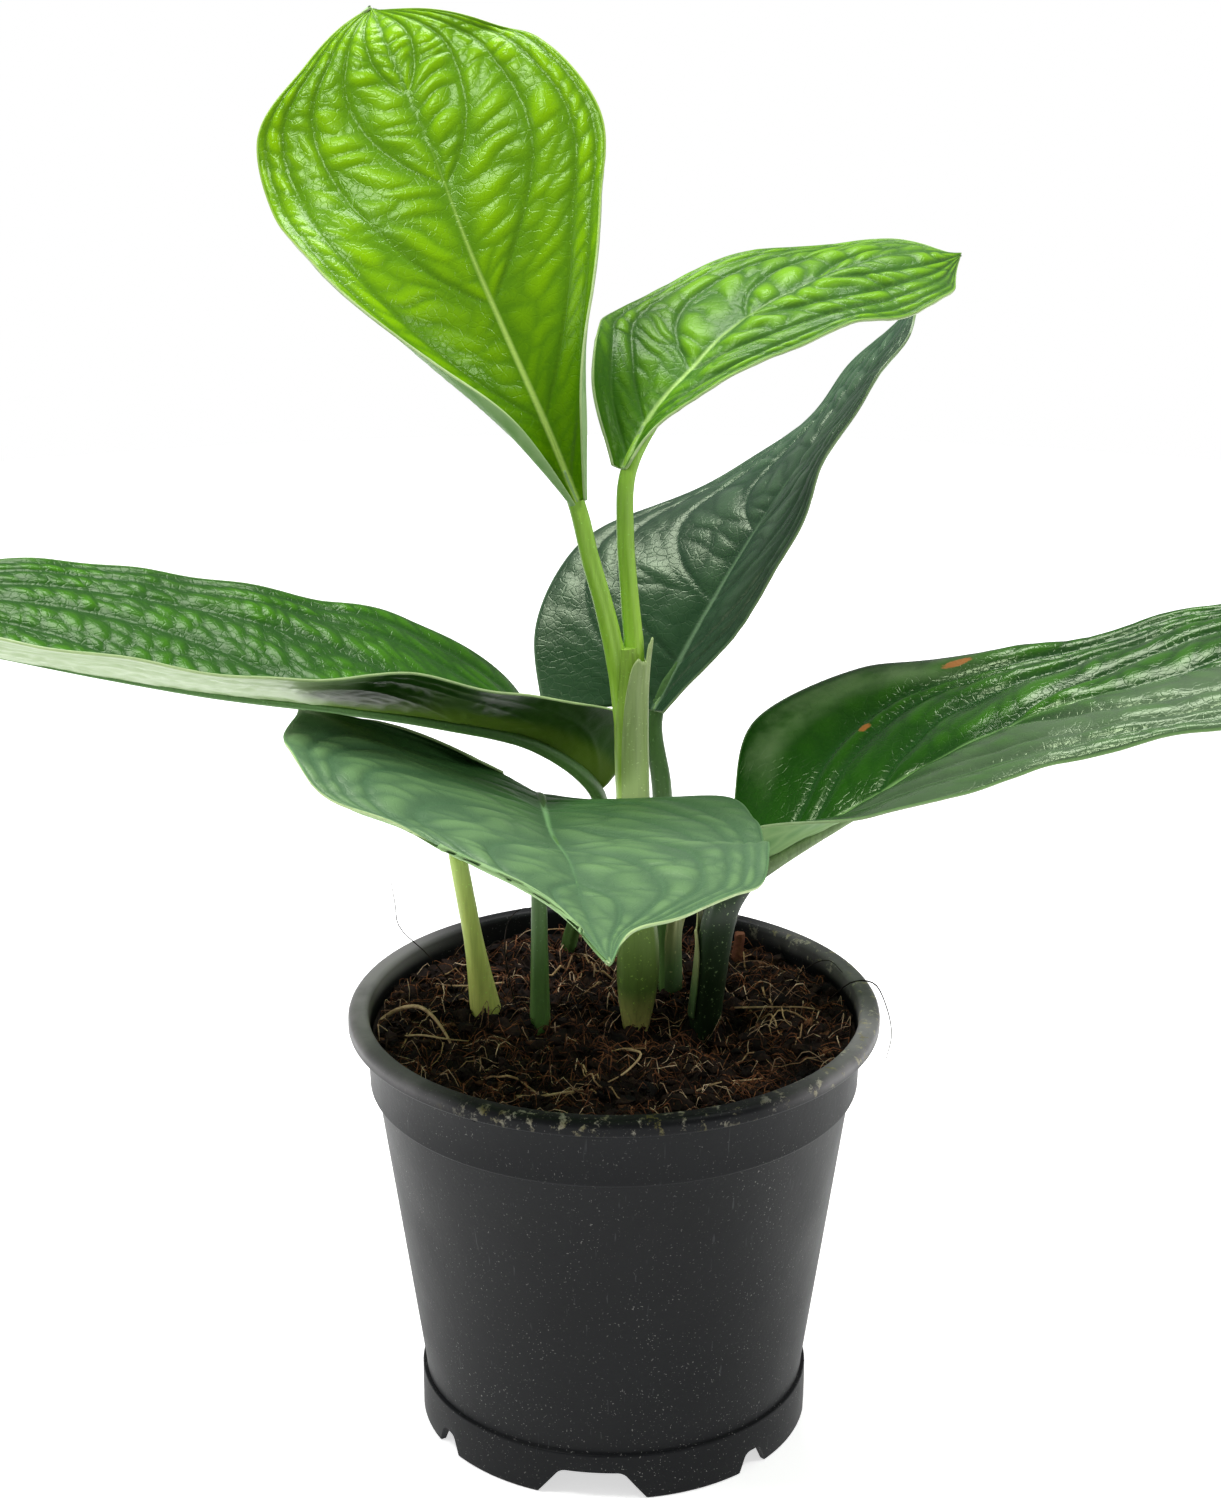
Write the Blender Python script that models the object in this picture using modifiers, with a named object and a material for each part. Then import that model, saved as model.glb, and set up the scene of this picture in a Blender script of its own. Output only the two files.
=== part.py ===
"""Potted monstera: seven quilted leaves on their stalks, growing from one clump in a nursery pot.

Metres, +Z up. The origin is the centre of the pot's underside, and -Y is the plant's front.
Leaf guides are written in millimetres from that origin.
"""
import math

import bmesh
import bpy
from mathutils import Matrix, Vector
from mathutils.noise import noise

MM = 0.001

# Pot
POT_HEIGHT = 0.103
RIM_RADIUS = 0.0608
FOOT_RADIUS = 0.0454
POT_WALL = 0.0011
LIP_WIDTH = 0.0042
LIP_DROP = 0.0036
COLLAR_HEIGHT = 0.0175
COLLAR_STEP = 0.0011
SKIRT_HEIGHT = 0.0115
SKIRT_STEP = 0.0009
FLOOR_RISE = 0.0065
CENTRE_PAD_RADIUS = 0.014
POT_STEPS = 56
WIDE_NOTCH = (0.025, 0.0145, 0.0070)
NARROW_NOTCH = (0.009, 0.0045, 0.0050)
NOTCH_COUNT = 7
WIDE_NOTCHES = (0, 2, 5)
NOTCH_DEPTH = 0.006
NOTCH_TURN = math.radians(-6.5)
DRAIN_RADIUS = 0.0035
DRAIN_INSET = 0.0194
DRAIN_CIRCLE = FOOT_RADIUS - DRAIN_INSET
CUTTER_DEPTH = 0.008

# Soil
SOIL_DROP = 0.0080
SOIL_MOUND = 0.0030
SOIL_LUMP = 0.0011
SOIL_STEPS = 40
BURIED = 0.011

# Leaves and stalks
CLEARANCE = 0.0003
BLADE_THICKNESS = 0.0008
BLADE_ROWS = 16
BLADE_COLUMNS = 10
STALK_GAP = 0.0003
PLANT_SCALE = 1.0

# The plant's guide points are in millimetres for a pot of this rim and soil height
GUIDE_RIM = 60.8
GUIDE_SOIL = 95.0
FOOT_ZONE = 45.0

# Height of the soil line above the pot's foot, on which the whole plant stands
SOIL_LINE = POT_HEIGHT - SOIL_DROP

# Each leaf: midrib from the stalk to the tip, the direction its upper face turns to,
# half-widths, lift of each half above the midrib in degrees, and how far the margin
# is swept along the leaf. Left and right are as seen from above, looking to the tip.
LEAVES = {
    "upper_left": dict(
        tone=(0.20, 0.46, 0.03),
        midrib=[(-8, -4, 223), (-15, -1, 240), (-23, 5, 257), (-31, 13, 274),
                (-38, 24, 290), (-45, 35, 304), (-50.5, 44, 314.5), (-54, 56, 319.6)],
        face=[(0.1, -0.9, 0.4), (0.1, -0.95, 0.3), (0, -0.9, 0.5), (0, -0.6, 0.8)],
        left=[3, 15, 25, 33, 37, 34, 18, 0],
        right=[3, 14, 23, 31, 37, 32, 23, 0],
        left_lift=[38, 24, 14, 8, 0, -4, -4, 5],
        right_lift=[32, 20, 10, 5, 6, 3, 2, 15],
        left_sweep=[0, 0, 0, 4, 2, 4, 1, 0],
        right_sweep=[0, 0, 0, 0, -2, -1, -5, 0],
    ),
    "upper_right": dict(
        tone=(0.14, 0.38, 0.04),
        midrib=[(2, 0, 229), (8, 7, 239), (17, 15, 247.5), (27, 25, 255),
                (39, 35, 260), (53, 44, 264), (67, 50, 266), (79, 54, 265)],
        face=[(-0.6, -0.4, 0.7), (-0.3, -0.3, 0.9), (-0.2, -0.2, 0.95), (-0.1, -0.1, 1)],
        left=[3, 17, 26, 28, 26, 21, 16, 0],
        right=[3, 7, 12, 18, 22, 24, 19, 0],
        left_lift=[40, 27, 15, 6, 5, 0, -4, -10],
        right_lift=[29, 14, 4, -3, -6, -10, -13, -16],
        left_sweep=[0, 2, 0, -6, -3, -3, -1, 0],
        right_sweep=[2, 0, -2, 0, 0, 0, 2, 0],
    ),
    "back": dict(
        tone=(0.03, 0.10, 0.04),
        midrib=[(9, 22, 166), (18, 32, 180), (27, 42, 193), (36, 51, 205),
                (46, 60, 217), (57, 69, 229), (66, 76, 240), (73, 81, 250)],
        face=[(-0.3, -0.7, 0.6), (-0.35, -0.6, 0.7), (-0.55, -0.35, 0.7),
              (-0.75, -0.05, 0.6), (-0.78, 0, 0.6), (-0.78, 0, 0.6)],
        left=[25, 37, 40, 34, 25, 20, 13, 0],
        right=[4, 14, 22, 24, 22, 18, 12, 0],
        left_lift=[24, 12, 8, 5, 5, 5, 5, 5],
        right_lift=[34, 30, 28, 20, 10, 5, 5, 5],
        left_sweep=[-14, -12, -6, -2, 0, 0, 0, 0],
        right_sweep=[0, 0],
    ),
    "left": dict(
        tone=(0.06, 0.24, 0.03),
        midrib=[(-3, 22, 147), (-16, 9, 163), (-36, -2, 172), (-57, -11, 178.5), (-79, -18, 183.5),
                (-101, -24, 189), (-123, -29, 195), (-145, -33, 200.5), (-167, -36, 203)],
        face=[(0, 0, 1), (0, 0, 1)],
        left=[18, 17, 25, 33, 38, 39, 36, 24, 0],
        right=[4, 20, 37, 40, 42, 42, 38, 27, 0],
        left_lift=[65, 46, 33, 31, 24, 23.5, 24, 24, 20],
        right_lift=[5, 20, 22, 20, 20, 19, 19, 17, 12],
        left_sweep=[6, 3, 0, 0, 0, 0, 0, 0, 0],
        right_sweep=[0, -5, -1, 0, 0, 0, 0, 0, 0],
    ),
    "right": dict(
        tone=(0.03, 0.17, 0.03),
        midrib=[(35, 0, 139), (54, 2, 149.5), (73, 3, 161), (93, 4, 170.5), (114, 4, 177),
                (135, 4, 183.5), (156, 4, 187), (177, 3, 190), (197, 1, 190)],
        face=[(0, 0, 1), (0, 0, 1)],
        left=[16, 38, 46, 37, 36, 35, 31, 20, 0],
        right=[16, 22, 30, 34, 36, 37, 32, 20, 0],
        left_lift=[22, 24, 11, 4, 2, 3, 3, 3, 3],
        right_lift=[52, 19, 7, 3, 2, 0, 0, 0, 0],
        left_sweep=[-4, -11, -7, 0, 0, 0, -3, -3, 0],
        right_sweep=[0, 0],
    ),
    "front": dict(
        tone=(0.07, 0.22, 0.08),
        midrib=[(-17, 3, 153), (-15, -24, 159), (-13, -50, 164), (-9, -76, 168.5),
                (-6.5, -100, 171), (-4, -121, 173), (-1, -138, 174)],
        face=[(0, 0, 1), (0, 0, 1)],
        left=[14, 39, 44, 44, 41, 35, 20, 7, 0],
        right=[18, 53, 58, 59, 51, 35, 17, 4, 0],
        left_lift=[-3, 4, 0, -3, 0, -2, -2, 2, 10],
        right_lift=[34, 26, 24, 23, 19, 19, 20, 22, 23],
        left_sweep=[14, 8, 3, 0, -2, -1, -2, -3, 0],
        right_sweep=[16, 3, -1, 0, -2, -6, -13, -10, 0],
    ),
    "young": dict(
        tone=(0.22, 0.44, 0.06),
        midrib=[(-36, 6, 142), (-38.5, 13, 143), (-42, 21, 142), (-45.5, 29, 139), (-49, 37, 134)],
        face=[(0, 0, 1), (0, 0, 1)],
        left=[2, 11, 12, 8, 0],
        right=[2, 11, 12, 8, 0],
        left_lift=[20, 10],
        right_lift=[20, 10],
        left_sweep=[0, 0],
        right_sweep=[0, 0],
    ),
}

# Each stalk from its foot up: points, then radii, ending at the leaf it carries.
# A foot with z None stands in the soil, at that x and y.
STALKS = {
    "upper_left": ([(0.4, -1, 186.6), (-2, -2, 197), (-5.6, -3, 210)], [1.8, 2.0, 2.0, 1.8]),
    "upper_right": ([(4.5, 0.5, 186.6), (3.4, 0.5, 200), (2.5, 0.3, 214)], [1.8, 1.9, 1.9, 1.8]),
    "back": ([(13, 19, None), (12.5, 18, 117), (11, 18, 146)], [2.4, 2.5, 2.6, 1.8]),
    "left": ([(-11, 44, None), (-8.5, 38, 110), (-6, 30, 128)], [1.9, 1.8, 1.8, 1.7]),
    "right": ([(21, 3, None), (23.5, -3, 126), (29, -1.5, 133.5)], [3.6, 3.9, 3.2, 2.0]),
    "front": ([(-17, 2.3, None), (-17, 2, 125), (-17, 2.3, 142)], [2.4, 1.8, 1.8, 1.6]),
    "young": ([(-29, 7, None), (-32, 5.5, 115), (-35, 4, 137)], [3.6, 2.2, 2.2, 1.6]),
}
STEM_POINTS = [(5, 2.3, None), (5.5, 1, 115), (4, 0, 150), (3, 0, 186)]
STEM_RADII = [2.8, 4.9, 3.6, 3.6]

# Sheaths: height range, half-angle they wrap through and the direction they open from
STEM_SHEATH = dict(low=150, high=188, reach=math.radians(105), turn=math.radians(-15))
RIGHT_SHEATH = dict(low=102, high=127, reach=math.radians(75), turn=math.radians(150))
BACK_SHEATH = dict(low=101, high=121, reach=math.radians(70), turn=math.radians(-40))
SHEATH_THICKNESS = 0.0007

# A dead stub of wood and a thick root that arches over the soil
STUB = dict(foot=(30, 37), lean=(2.0, 1.5), height=8.0, radius=1.5)
ROOT_FEET = ((-53, 2), (-36, -14))
ROOT_BEND = (-41, 2)
ROOT_RISE = 3.0
ROOT_RADIUS = 0.5
ROOT_STEPS = 6
ROOT_GAP = 0.0006


def clear_scene():
    for thing in list(bpy.data.objects):
        bpy.data.objects.remove(thing, do_unlink=True)


def make_collection(name):
    group = bpy.data.collections.new(name)
    bpy.context.scene.collection.children.link(group)
    return group


def make_material(name, colour, roughness):
    material = bpy.data.materials.new(name)
    material.use_nodes = True
    shader = material.node_tree.nodes["Principled BSDF"]
    shader.inputs["Base Color"].default_value = (*colour, 1.0)
    shader.inputs["Roughness"].default_value = roughness
    shader.inputs["Metallic"].default_value = 0.0
    return material


def add_object(name, mesh, group, material=None):
    made = bpy.data.objects.new(name, mesh)
    group.objects.link(made)
    if material:
        mesh.materials.append(material)
    return made


def mesh_from(bm, name, smooth=True):
    bmesh.ops.recalc_face_normals(bm, faces=bm.faces)
    mesh = bpy.data.meshes.new(name)
    bm.to_mesh(mesh)
    bm.free()
    if smooth:
        mesh.shade_smooth()
        mesh.set_sharp_from_angle(angle=math.radians(40))
    return mesh


def baked(made):
    """Swap an object with modifiers or a curve for its finished mesh."""
    depsgraph = bpy.context.evaluated_depsgraph_get()
    mesh = bpy.data.meshes.new_from_object(made.evaluated_get(depsgraph))
    name, groups, matrix = made.name, made.users_collection, made.matrix_world.copy()
    bpy.data.objects.remove(made, do_unlink=True)
    bm = bmesh.new()
    bm.from_mesh(mesh)
    bmesh.ops.remove_doubles(bm, verts=bm.verts, dist=0.000002)
    bmesh.ops.recalc_face_normals(bm, faces=bm.faces)
    bm.to_mesh(mesh)
    bm.free()
    mesh.name = name
    swapped = bpy.data.objects.new(name, mesh)
    swapped.matrix_world = matrix
    for group in groups:
        group.objects.link(swapped)
    return swapped


def as_cutter(made):
    made.hide_render = True
    made.display_type = "WIRE"
    return made


def cut(target, cutter):
    boolean = target.modifiers.new(cutter.name, "BOOLEAN")
    boolean.operation = "DIFFERENCE"
    boolean.object = cutter


def curve_value(values, t):
    """Smooth value at t from 0 to 1 through evenly spaced numbers or vectors."""
    last = len(values) - 1
    place = min(max(t, 0.0), 1.0) * last
    i = min(int(place), last - 1)
    f = place - i
    b, c = values[i], values[i + 1]
    a = values[i - 1] if i > 0 else b * 2 - c
    d = values[i + 2] if i + 2 <= last else c * 2 - b
    return (b * 2 + (c - a) * f + (a * 2 - b * 5 + c * 4 - d) * f**2
            + (b * 3 - a - c * 3 + d) * f**3) * 0.5


def plant_point(point):
    """A guide point in metres. Feet keep their share of the rim, and the rest grows with the plant."""
    x, y, z = point
    above = 0.0 if z is None else z - GUIDE_SOIL
    footing = 1.0 - min(max(above / FOOT_ZONE, 0.0), 1.0)
    spread = PLANT_SCALE + (RIM_RADIUS / (GUIDE_RIM * MM) - PLANT_SCALE) * footing
    return Vector((x * MM * spread, y * MM * spread, SOIL_LINE + above * MM * PLANT_SCALE))


def soil_height(x, y):
    """Top of the soil: a low mound with lumps, level with SOIL_LINE at the wall."""
    share = min(math.hypot(x, y) / RIM_RADIUS, 1.0)
    lumps = noise(Vector((x * 90, y * 90, 0.3))) + 0.5 * noise(Vector((x * 210, y * 210, 1.7)))
    fade = 1.0 - share**6
    return SOIL_LINE + SOIL_MOUND * (1.0 - share**2) + SOIL_LUMP * lumps * fade


def leaf_point(leaf, t, u):
    """Point of a blade at t along the midrib and u across, -1 left margin to 1 right margin."""
    midrib = leaf["midrib_points"]
    middle = curve_value(midrib, t)
    along = (curve_value(midrib, t + 0.001) - curve_value(midrib, t - 0.001)).normalized()
    face = curve_value(leaf["face_points"], t)
    face = (face - along * face.dot(along)).normalized()
    side = "right" if u >= 0 else "left"
    across = along.cross(face) * (1 if u >= 0 else -1)
    reach = max(curve_value(leaf[side], t), 0.0) * abs(u) * MM * PLANT_SCALE
    lift = math.radians(curve_value(leaf[side + "_lift"], t))
    sweep = curve_value(leaf[side + "_sweep"], t) * abs(u) ** 1.6 * MM * PLANT_SCALE
    return middle + across * reach * math.cos(lift) + face * reach * math.sin(lift) + along * sweep


def build_blade(name, leaf, group):
    leaf["midrib_points"] = [plant_point(point) for point in leaf["midrib"]]
    leaf["face_points"] = [Vector(direction) for direction in leaf["face"]]
    bm = bmesh.new()
    bmesh.ops.create_grid(bm, x_segments=BLADE_ROWS, y_segments=BLADE_COLUMNS, size=1.0)
    for vert in bm.verts:
        t = (vert.co.x + 1.0) / 2.0
        vert.co = leaf_point(leaf, t, vert.co.y)
    bmesh.ops.remove_doubles(bm, verts=bm.verts, dist=0.00005)
    mesh = mesh_from(bm, name)
    tone = make_material(name + "_green", leaf["tone"], 0.35)
    blade = add_object(name, mesh, group, tone)
    shell = blade.modifiers.new("thickness", "SOLIDIFY")
    shell.thickness = BLADE_THICKNESS
    shell.offset = 0.0
    return blade


def build_tube(name, points, radii, group, material):
    """A tapering stem through a few points, as a smooth poly curve with closed ends."""
    data = bpy.data.curves.new(name, "CURVE")
    data.dimensions = "3D"
    data.bevel_depth = 1.0
    data.bevel_resolution = 3
    data.use_fill_caps = True
    count = 3 * (len(points) - 1) + 1
    spline = data.splines.new("POLY")
    spline.points.add(count - 1)
    for i, point in enumerate(spline.points):
        t = i / (count - 1)
        point.co = (*curve_value(points, t), 1.0)
        point.radius = curve_value(radii, t)
    tube = bpy.data.objects.new(name, data)
    group.objects.link(tube)
    bpy.context.view_layer.update()
    tube = baked(tube)
    tube.data.materials.append(material)
    tube.data.shade_smooth()
    tube.data.set_sharp_from_angle(angle=math.radians(50))
    return tube


def rooted(points):
    """Points with the first one pushed down below the soil, in line with the second."""
    foot, above = points[0], points[1]
    direction = (above - foot).normalized()
    return [foot - direction * BURIED] + points


def foot_cutter(name, points, radii, cutters):
    """A pocket in the soil around a buried foot, with clearance on its side and its end."""
    low, high = points[0], points[1] + (points[1] - points[0]).normalized() * 0.008
    direction = (high - low).normalized()
    low = low - direction * CLEARANCE
    bm = bmesh.new()
    radius = max(radii[0], radii[1]) * 1.04 + CLEARANCE
    bmesh.ops.create_cone(bm, cap_ends=True, segments=20, radius1=radius, radius2=radius,
                          depth=(high - low).length)
    turn = direction.to_track_quat("Z", "Y").to_matrix().to_4x4()
    bmesh.ops.transform(bm, matrix=Matrix.Translation((low + high) / 2) @ turn, verts=bm.verts)
    return as_cutter(add_object(name, mesh_from(bm, name), cutters))


def build_stalk(name, leaf, points, radii, group, cutters, material):
    in_soil = points[0][2] is None
    line = [plant_point(point) for point in points]
    if in_soil:
        line[0].z = soil_height(line[0].x, line[0].y)
    base = leaf["midrib_points"][0]
    last = line[-1]
    line.append(base - (base - last).normalized() * (STALK_GAP + BLADE_THICKNESS / 2))
    sizes = [radius * MM * PLANT_SCALE for radius in radii]
    pocket = None
    if in_soil:
        line = rooted(line)
        sizes = [sizes[0]] + sizes
        pocket = foot_cutter(name + "_pocket", line, sizes, cutters)
    return build_tube(name, line, sizes, group, material), pocket


def build_stem(group, cutters, material):
    line = [plant_point(point) for point in STEM_POINTS]
    line[0].z = soil_height(line[0].x, line[0].y)
    line = rooted(line)
    sizes = [radius * MM * PLANT_SCALE for radius in [STEM_RADII[0]] + STEM_RADII]
    pocket = foot_cutter("main_stem_pocket", line, sizes, cutters)
    return build_tube("main_stem", line, sizes, group, material), pocket, line, sizes


def build_sheath(name, line, sizes, spec, group, material):
    """A leaf sheath: an open half-tube that wraps a stem, with a ragged upper edge."""
    bottom = plant_point((0, 0, spec["low"])).z
    top = plant_point((0, 0, spec["high"])).z

    def stem_at(height):
        low, high = 0.0, 1.0
        for _ in range(30):
            middle = (low + high) / 2
            if curve_value(line, middle).z < height:
                low = middle
            else:
                high = middle
        return curve_value(line, low), curve_value(sizes, low)

    bm = bmesh.new()
    bmesh.ops.create_grid(bm, x_segments=6, y_segments=8, size=1.0)
    for vert in bm.verts:
        up = (vert.co.x + 1.0) / 2.0
        around = vert.co.y
        ragged = 0.06 * math.sin(around * 7.0) - 0.16 * around**2
        height = bottom + (top - bottom) * up * (1.0 + ragged)
        centre, radius = stem_at(height)
        angle = spec["turn"] + around * spec["reach"] * (1.0 - 0.35 * up**3)
        reach = radius * 1.03 + CLEARANCE + SHEATH_THICKNESS / 2 + 0.0006 * up**3
        vert.co = centre + Vector((math.cos(angle), math.sin(angle), 0.0)) * reach
        vert.co.z = height
    sheath = add_object(name, mesh_from(bm, name), group, material)
    shell = sheath.modifiers.new("thickness", "SOLIDIFY")
    shell.thickness = SHEATH_THICKNESS
    shell.offset = 0.0
    return sheath


def pot_profile():
    """Half-section from the inner floor's centre, up the inside, over the lip and down."""
    inner_foot = FOOT_RADIUS - SKIRT_STEP - POT_WALL
    collar_outer = RIM_RADIUS - LIP_WIDTH
    taper_top = collar_outer - COLLAR_STEP - 0.0008
    collar_low = POT_HEIGHT - COLLAR_HEIGHT
    floor_top = FLOOR_RISE + POT_WALL
    pad = CENTRE_PAD_RADIUS
    channel = FOOT_RADIUS - 0.0060
    return [
        (0.0, POT_WALL), (pad - 0.002, POT_WALL), (pad + 0.001, floor_top),
        (inner_foot - 0.002, floor_top), (inner_foot, floor_top + 0.002),
        (taper_top - POT_WALL, collar_low - 0.001),
        (collar_outer - POT_WALL, collar_low + 0.0015),
        (RIM_RADIUS - LIP_WIDTH - POT_WALL * 0.6, POT_HEIGHT - 0.0012),
        (RIM_RADIUS - LIP_WIDTH, POT_HEIGHT),
        (RIM_RADIUS - 0.0014, POT_HEIGHT), (RIM_RADIUS - 0.0003, POT_HEIGHT - 0.0008),
        (RIM_RADIUS, POT_HEIGHT - 0.0016), (RIM_RADIUS, POT_HEIGHT - LIP_DROP),
        (RIM_RADIUS - POT_WALL, POT_HEIGHT - LIP_DROP), (RIM_RADIUS - POT_WALL - 0.0008, POT_HEIGHT - 0.0022),
        (collar_outer + 0.0008, POT_HEIGHT - 0.0026), (collar_outer, POT_HEIGHT - LIP_DROP),
        (collar_outer - 0.0006, collar_low), (taper_top, collar_low - 0.0012),
        (FOOT_RADIUS - SKIRT_STEP + 0.0008, SKIRT_HEIGHT + 0.0008), (FOOT_RADIUS, SKIRT_HEIGHT),
        (FOOT_RADIUS, 0.0), (FOOT_RADIUS - POT_WALL * 1.4, 0.0), (channel + 0.0035, FLOOR_RISE),
        (pad + 0.002, FLOOR_RISE), (pad, 0.0), (0.0, 0.0),
    ]


def turned(name, profile, steps, group):
    """A solid of revolution from a half-section at +X that runs down its outer side."""
    mesh = bpy.data.meshes.new(name)
    edges = [(i, i + 1) for i in range(len(profile) - 1)]
    mesh.from_pydata([(radius, 0.0, height) for radius, height in profile], edges, [])
    made = bpy.data.objects.new(name, mesh)
    group.objects.link(made)
    screw = made.modifiers.new("turn", "SCREW")
    screw.steps = steps
    screw.render_steps = steps
    screw.use_merge_vertices = True
    screw.merge_threshold = 0.00001
    bpy.context.view_layer.update()
    return baked(made)


def notch_cutter(name, angle, size, cutters):
    """A wedge through the skirt, wider at the floor than at its top."""
    low_width, high_width, height = size
    bm = bmesh.new()
    bmesh.ops.create_cube(bm, size=1.0)
    for vert in bm.verts:
        upper = vert.co.z > 0
        vert.co.x *= high_width if upper else low_width * 1.08
        vert.co.y *= NOTCH_DEPTH
        vert.co.z = height if upper else -0.001
    spin = Matrix.Rotation(angle, 4, "Z")
    place = spin @ Matrix.Translation((0, -(FOOT_RADIUS - 0.0012), 0))
    bmesh.ops.transform(bm, matrix=place, verts=bm.verts)
    return as_cutter(add_object(name, mesh_from(bm, name, smooth=False), cutters))


def drain_cutter(name, angle, cutters):
    bm = bmesh.new()
    bmesh.ops.create_cone(bm, cap_ends=True, segments=16, radius1=DRAIN_RADIUS,
                          radius2=DRAIN_RADIUS, depth=CUTTER_DEPTH)
    place = Matrix.Rotation(angle, 4, "Z") @ Matrix.Translation((0, DRAIN_CIRCLE, FLOOR_RISE))
    bmesh.ops.transform(bm, matrix=place, verts=bm.verts)
    return as_cutter(add_object(name, mesh_from(bm, name, smooth=False), cutters))


def build_pot(group, cutters):
    pot = turned("pot", pot_profile(), POT_STEPS, group)
    pot.data.materials.append(make_material("charcoal_plastic", (0.022, 0.025, 0.028), 0.55))
    pot.data.shade_smooth()
    pot.data.set_sharp_from_angle(angle=math.radians(30))
    for i in range(NOTCH_COUNT):
        angle = NOTCH_TURN + i * 2 * math.pi / NOTCH_COUNT
        size = WIDE_NOTCH if i in WIDE_NOTCHES else NARROW_NOTCH
        cut(pot, notch_cutter(f"skirt_notch_{i + 1}", angle, size, cutters))
        cut(pot, drain_cutter(f"drain_hole_{i + 1}", angle, cutters))
    return pot


def build_soil(group, pockets):
    """Soil that fills the pot with clearance to its wall, with a lumpy mounded top."""
    profile = pot_profile()
    floor_edge = profile[3]
    wall_low, wall_high, collar_low = profile[4], profile[5], profile[6]
    outline = [(0.0, profile[2][1] + CLEARANCE), (floor_edge[0] - CLEARANCE, floor_edge[1] + CLEARANCE)]
    outline += [(radius - CLEARANCE * 1.5, height + CLEARANCE * 0.5)
                for radius, height in (wall_low, wall_high, collar_low)]
    edge = collar_low[0] - CLEARANCE * 1.5
    rings = 9
    outline += [(edge * (1 - i / rings), SOIL_LINE) for i in range(rings + 1)]
    soil = turned("soil", list(reversed(outline)), SOIL_STEPS, group)
    for vert in soil.data.vertices:
        if vert.co.z > SOIL_LINE - 0.0001:
            vert.co.z = soil_height(vert.co.x, vert.co.y)
    soil.data.materials.append(make_material("coir_mix", (0.030, 0.018, 0.012), 0.95))
    for pocket in pockets:
        cut(soil, pocket)
    return soil


def build_stub(group, cutters, material):
    foot_x, foot_y = STUB["foot"]
    foot = plant_point((foot_x, foot_y, None))
    foot.z = soil_height(foot.x, foot.y)
    lean = Vector((STUB["lean"][0], STUB["lean"][1], STUB["height"])) * MM * PLANT_SCALE
    line = rooted([foot, foot + lean * 0.5, foot + lean])
    sizes = [STUB["radius"] * MM * PLANT_SCALE] * len(line)
    sizes[-1] *= 0.6
    pocket = foot_cutter("wood_stub_pocket", line, sizes, cutters)
    return build_tube("wood_stub", line, sizes, group, material), pocket


def build_root(group, material):
    """A bare root that arches just above the soil between its two ends."""
    start, end = ROOT_FEET
    radius = ROOT_RADIUS * MM * PLANT_SCALE
    line = []
    for i in range(ROOT_STEPS + 1):
        t = i / ROOT_STEPS
        x = (1 - t) ** 2 * start[0] + 2 * t * (1 - t) * ROOT_BEND[0] + t**2 * end[0]
        y = (1 - t) ** 2 * start[1] + 2 * t * (1 - t) * ROOT_BEND[1] + t**2 * end[1]
        spot = plant_point((x, y, None))
        rise = ROOT_RISE * MM * PLANT_SCALE * math.sin(math.pi * t)
        spot.z = soil_height(spot.x, spot.y) + radius + ROOT_GAP + rise
        line.append(spot)
    return build_tube("surface_root", line, [radius] * len(line), group, material)


def build_plant():
    clear_scene()
    group = make_collection("potted_monstera")
    cutters = make_collection("cutters")
    stalk_green = make_material("stalk_green", (0.20, 0.36, 0.06), 0.45)
    sheath_green = make_material("sheath_green", (0.30, 0.42, 0.12), 0.5)
    stem, stem_pocket, stem_line, stem_sizes = build_stem(group, cutters, stalk_green)
    pockets = [stem_pocket]
    for name, leaf in LEAVES.items():
        build_blade(name + "_leaf", leaf, group)
        points, radii = STALKS[name]
        stalk, pocket = build_stalk(name + "_stalk", leaf, points, radii, group, cutters, stalk_green)
        if pocket:
            pockets.append(pocket)
    build_sheath("stem_sheath", stem_line, stem_sizes, STEM_SHEATH, group, sheath_green)
    for name, spec in (("right", RIGHT_SHEATH), ("back", BACK_SHEATH)):
        points, radii = STALKS[name]
        line = [plant_point(point) for point in points]
        line[0].z = soil_height(line[0].x, line[0].y)
        sizes = [radius * MM * PLANT_SCALE for radius in radii[:len(line)]]
        build_sheath(name + "_sheath", line, sizes, spec, group, sheath_green)
    stub, stub_pocket = build_stub(group, cutters, make_material("old_wood", (0.16, 0.06, 0.03), 0.8))
    pockets.append(stub_pocket)
    build_root(group, make_material("root_tan", (0.45, 0.30, 0.16), 0.7))
    build_pot(group, cutters)
    build_soil(group, pockets)


build_plant()
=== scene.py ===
import math
import random

import bmesh
import bpy
import numpy as np
from mathutils import Matrix, Vector, noise


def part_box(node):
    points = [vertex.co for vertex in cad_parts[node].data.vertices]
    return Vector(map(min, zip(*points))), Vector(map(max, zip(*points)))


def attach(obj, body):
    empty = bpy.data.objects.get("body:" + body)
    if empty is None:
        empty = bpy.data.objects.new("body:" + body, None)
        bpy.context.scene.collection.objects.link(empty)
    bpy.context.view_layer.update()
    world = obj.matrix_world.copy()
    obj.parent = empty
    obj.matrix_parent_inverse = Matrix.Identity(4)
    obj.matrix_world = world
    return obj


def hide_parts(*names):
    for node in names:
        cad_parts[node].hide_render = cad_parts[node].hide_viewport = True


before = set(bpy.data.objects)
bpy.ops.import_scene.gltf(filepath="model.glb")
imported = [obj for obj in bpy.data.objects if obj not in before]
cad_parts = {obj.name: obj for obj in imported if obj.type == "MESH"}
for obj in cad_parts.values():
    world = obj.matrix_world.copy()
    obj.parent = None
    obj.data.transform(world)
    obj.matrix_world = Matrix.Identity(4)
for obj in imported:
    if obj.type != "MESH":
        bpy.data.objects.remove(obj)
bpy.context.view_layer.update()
random.seed(12)

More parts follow.
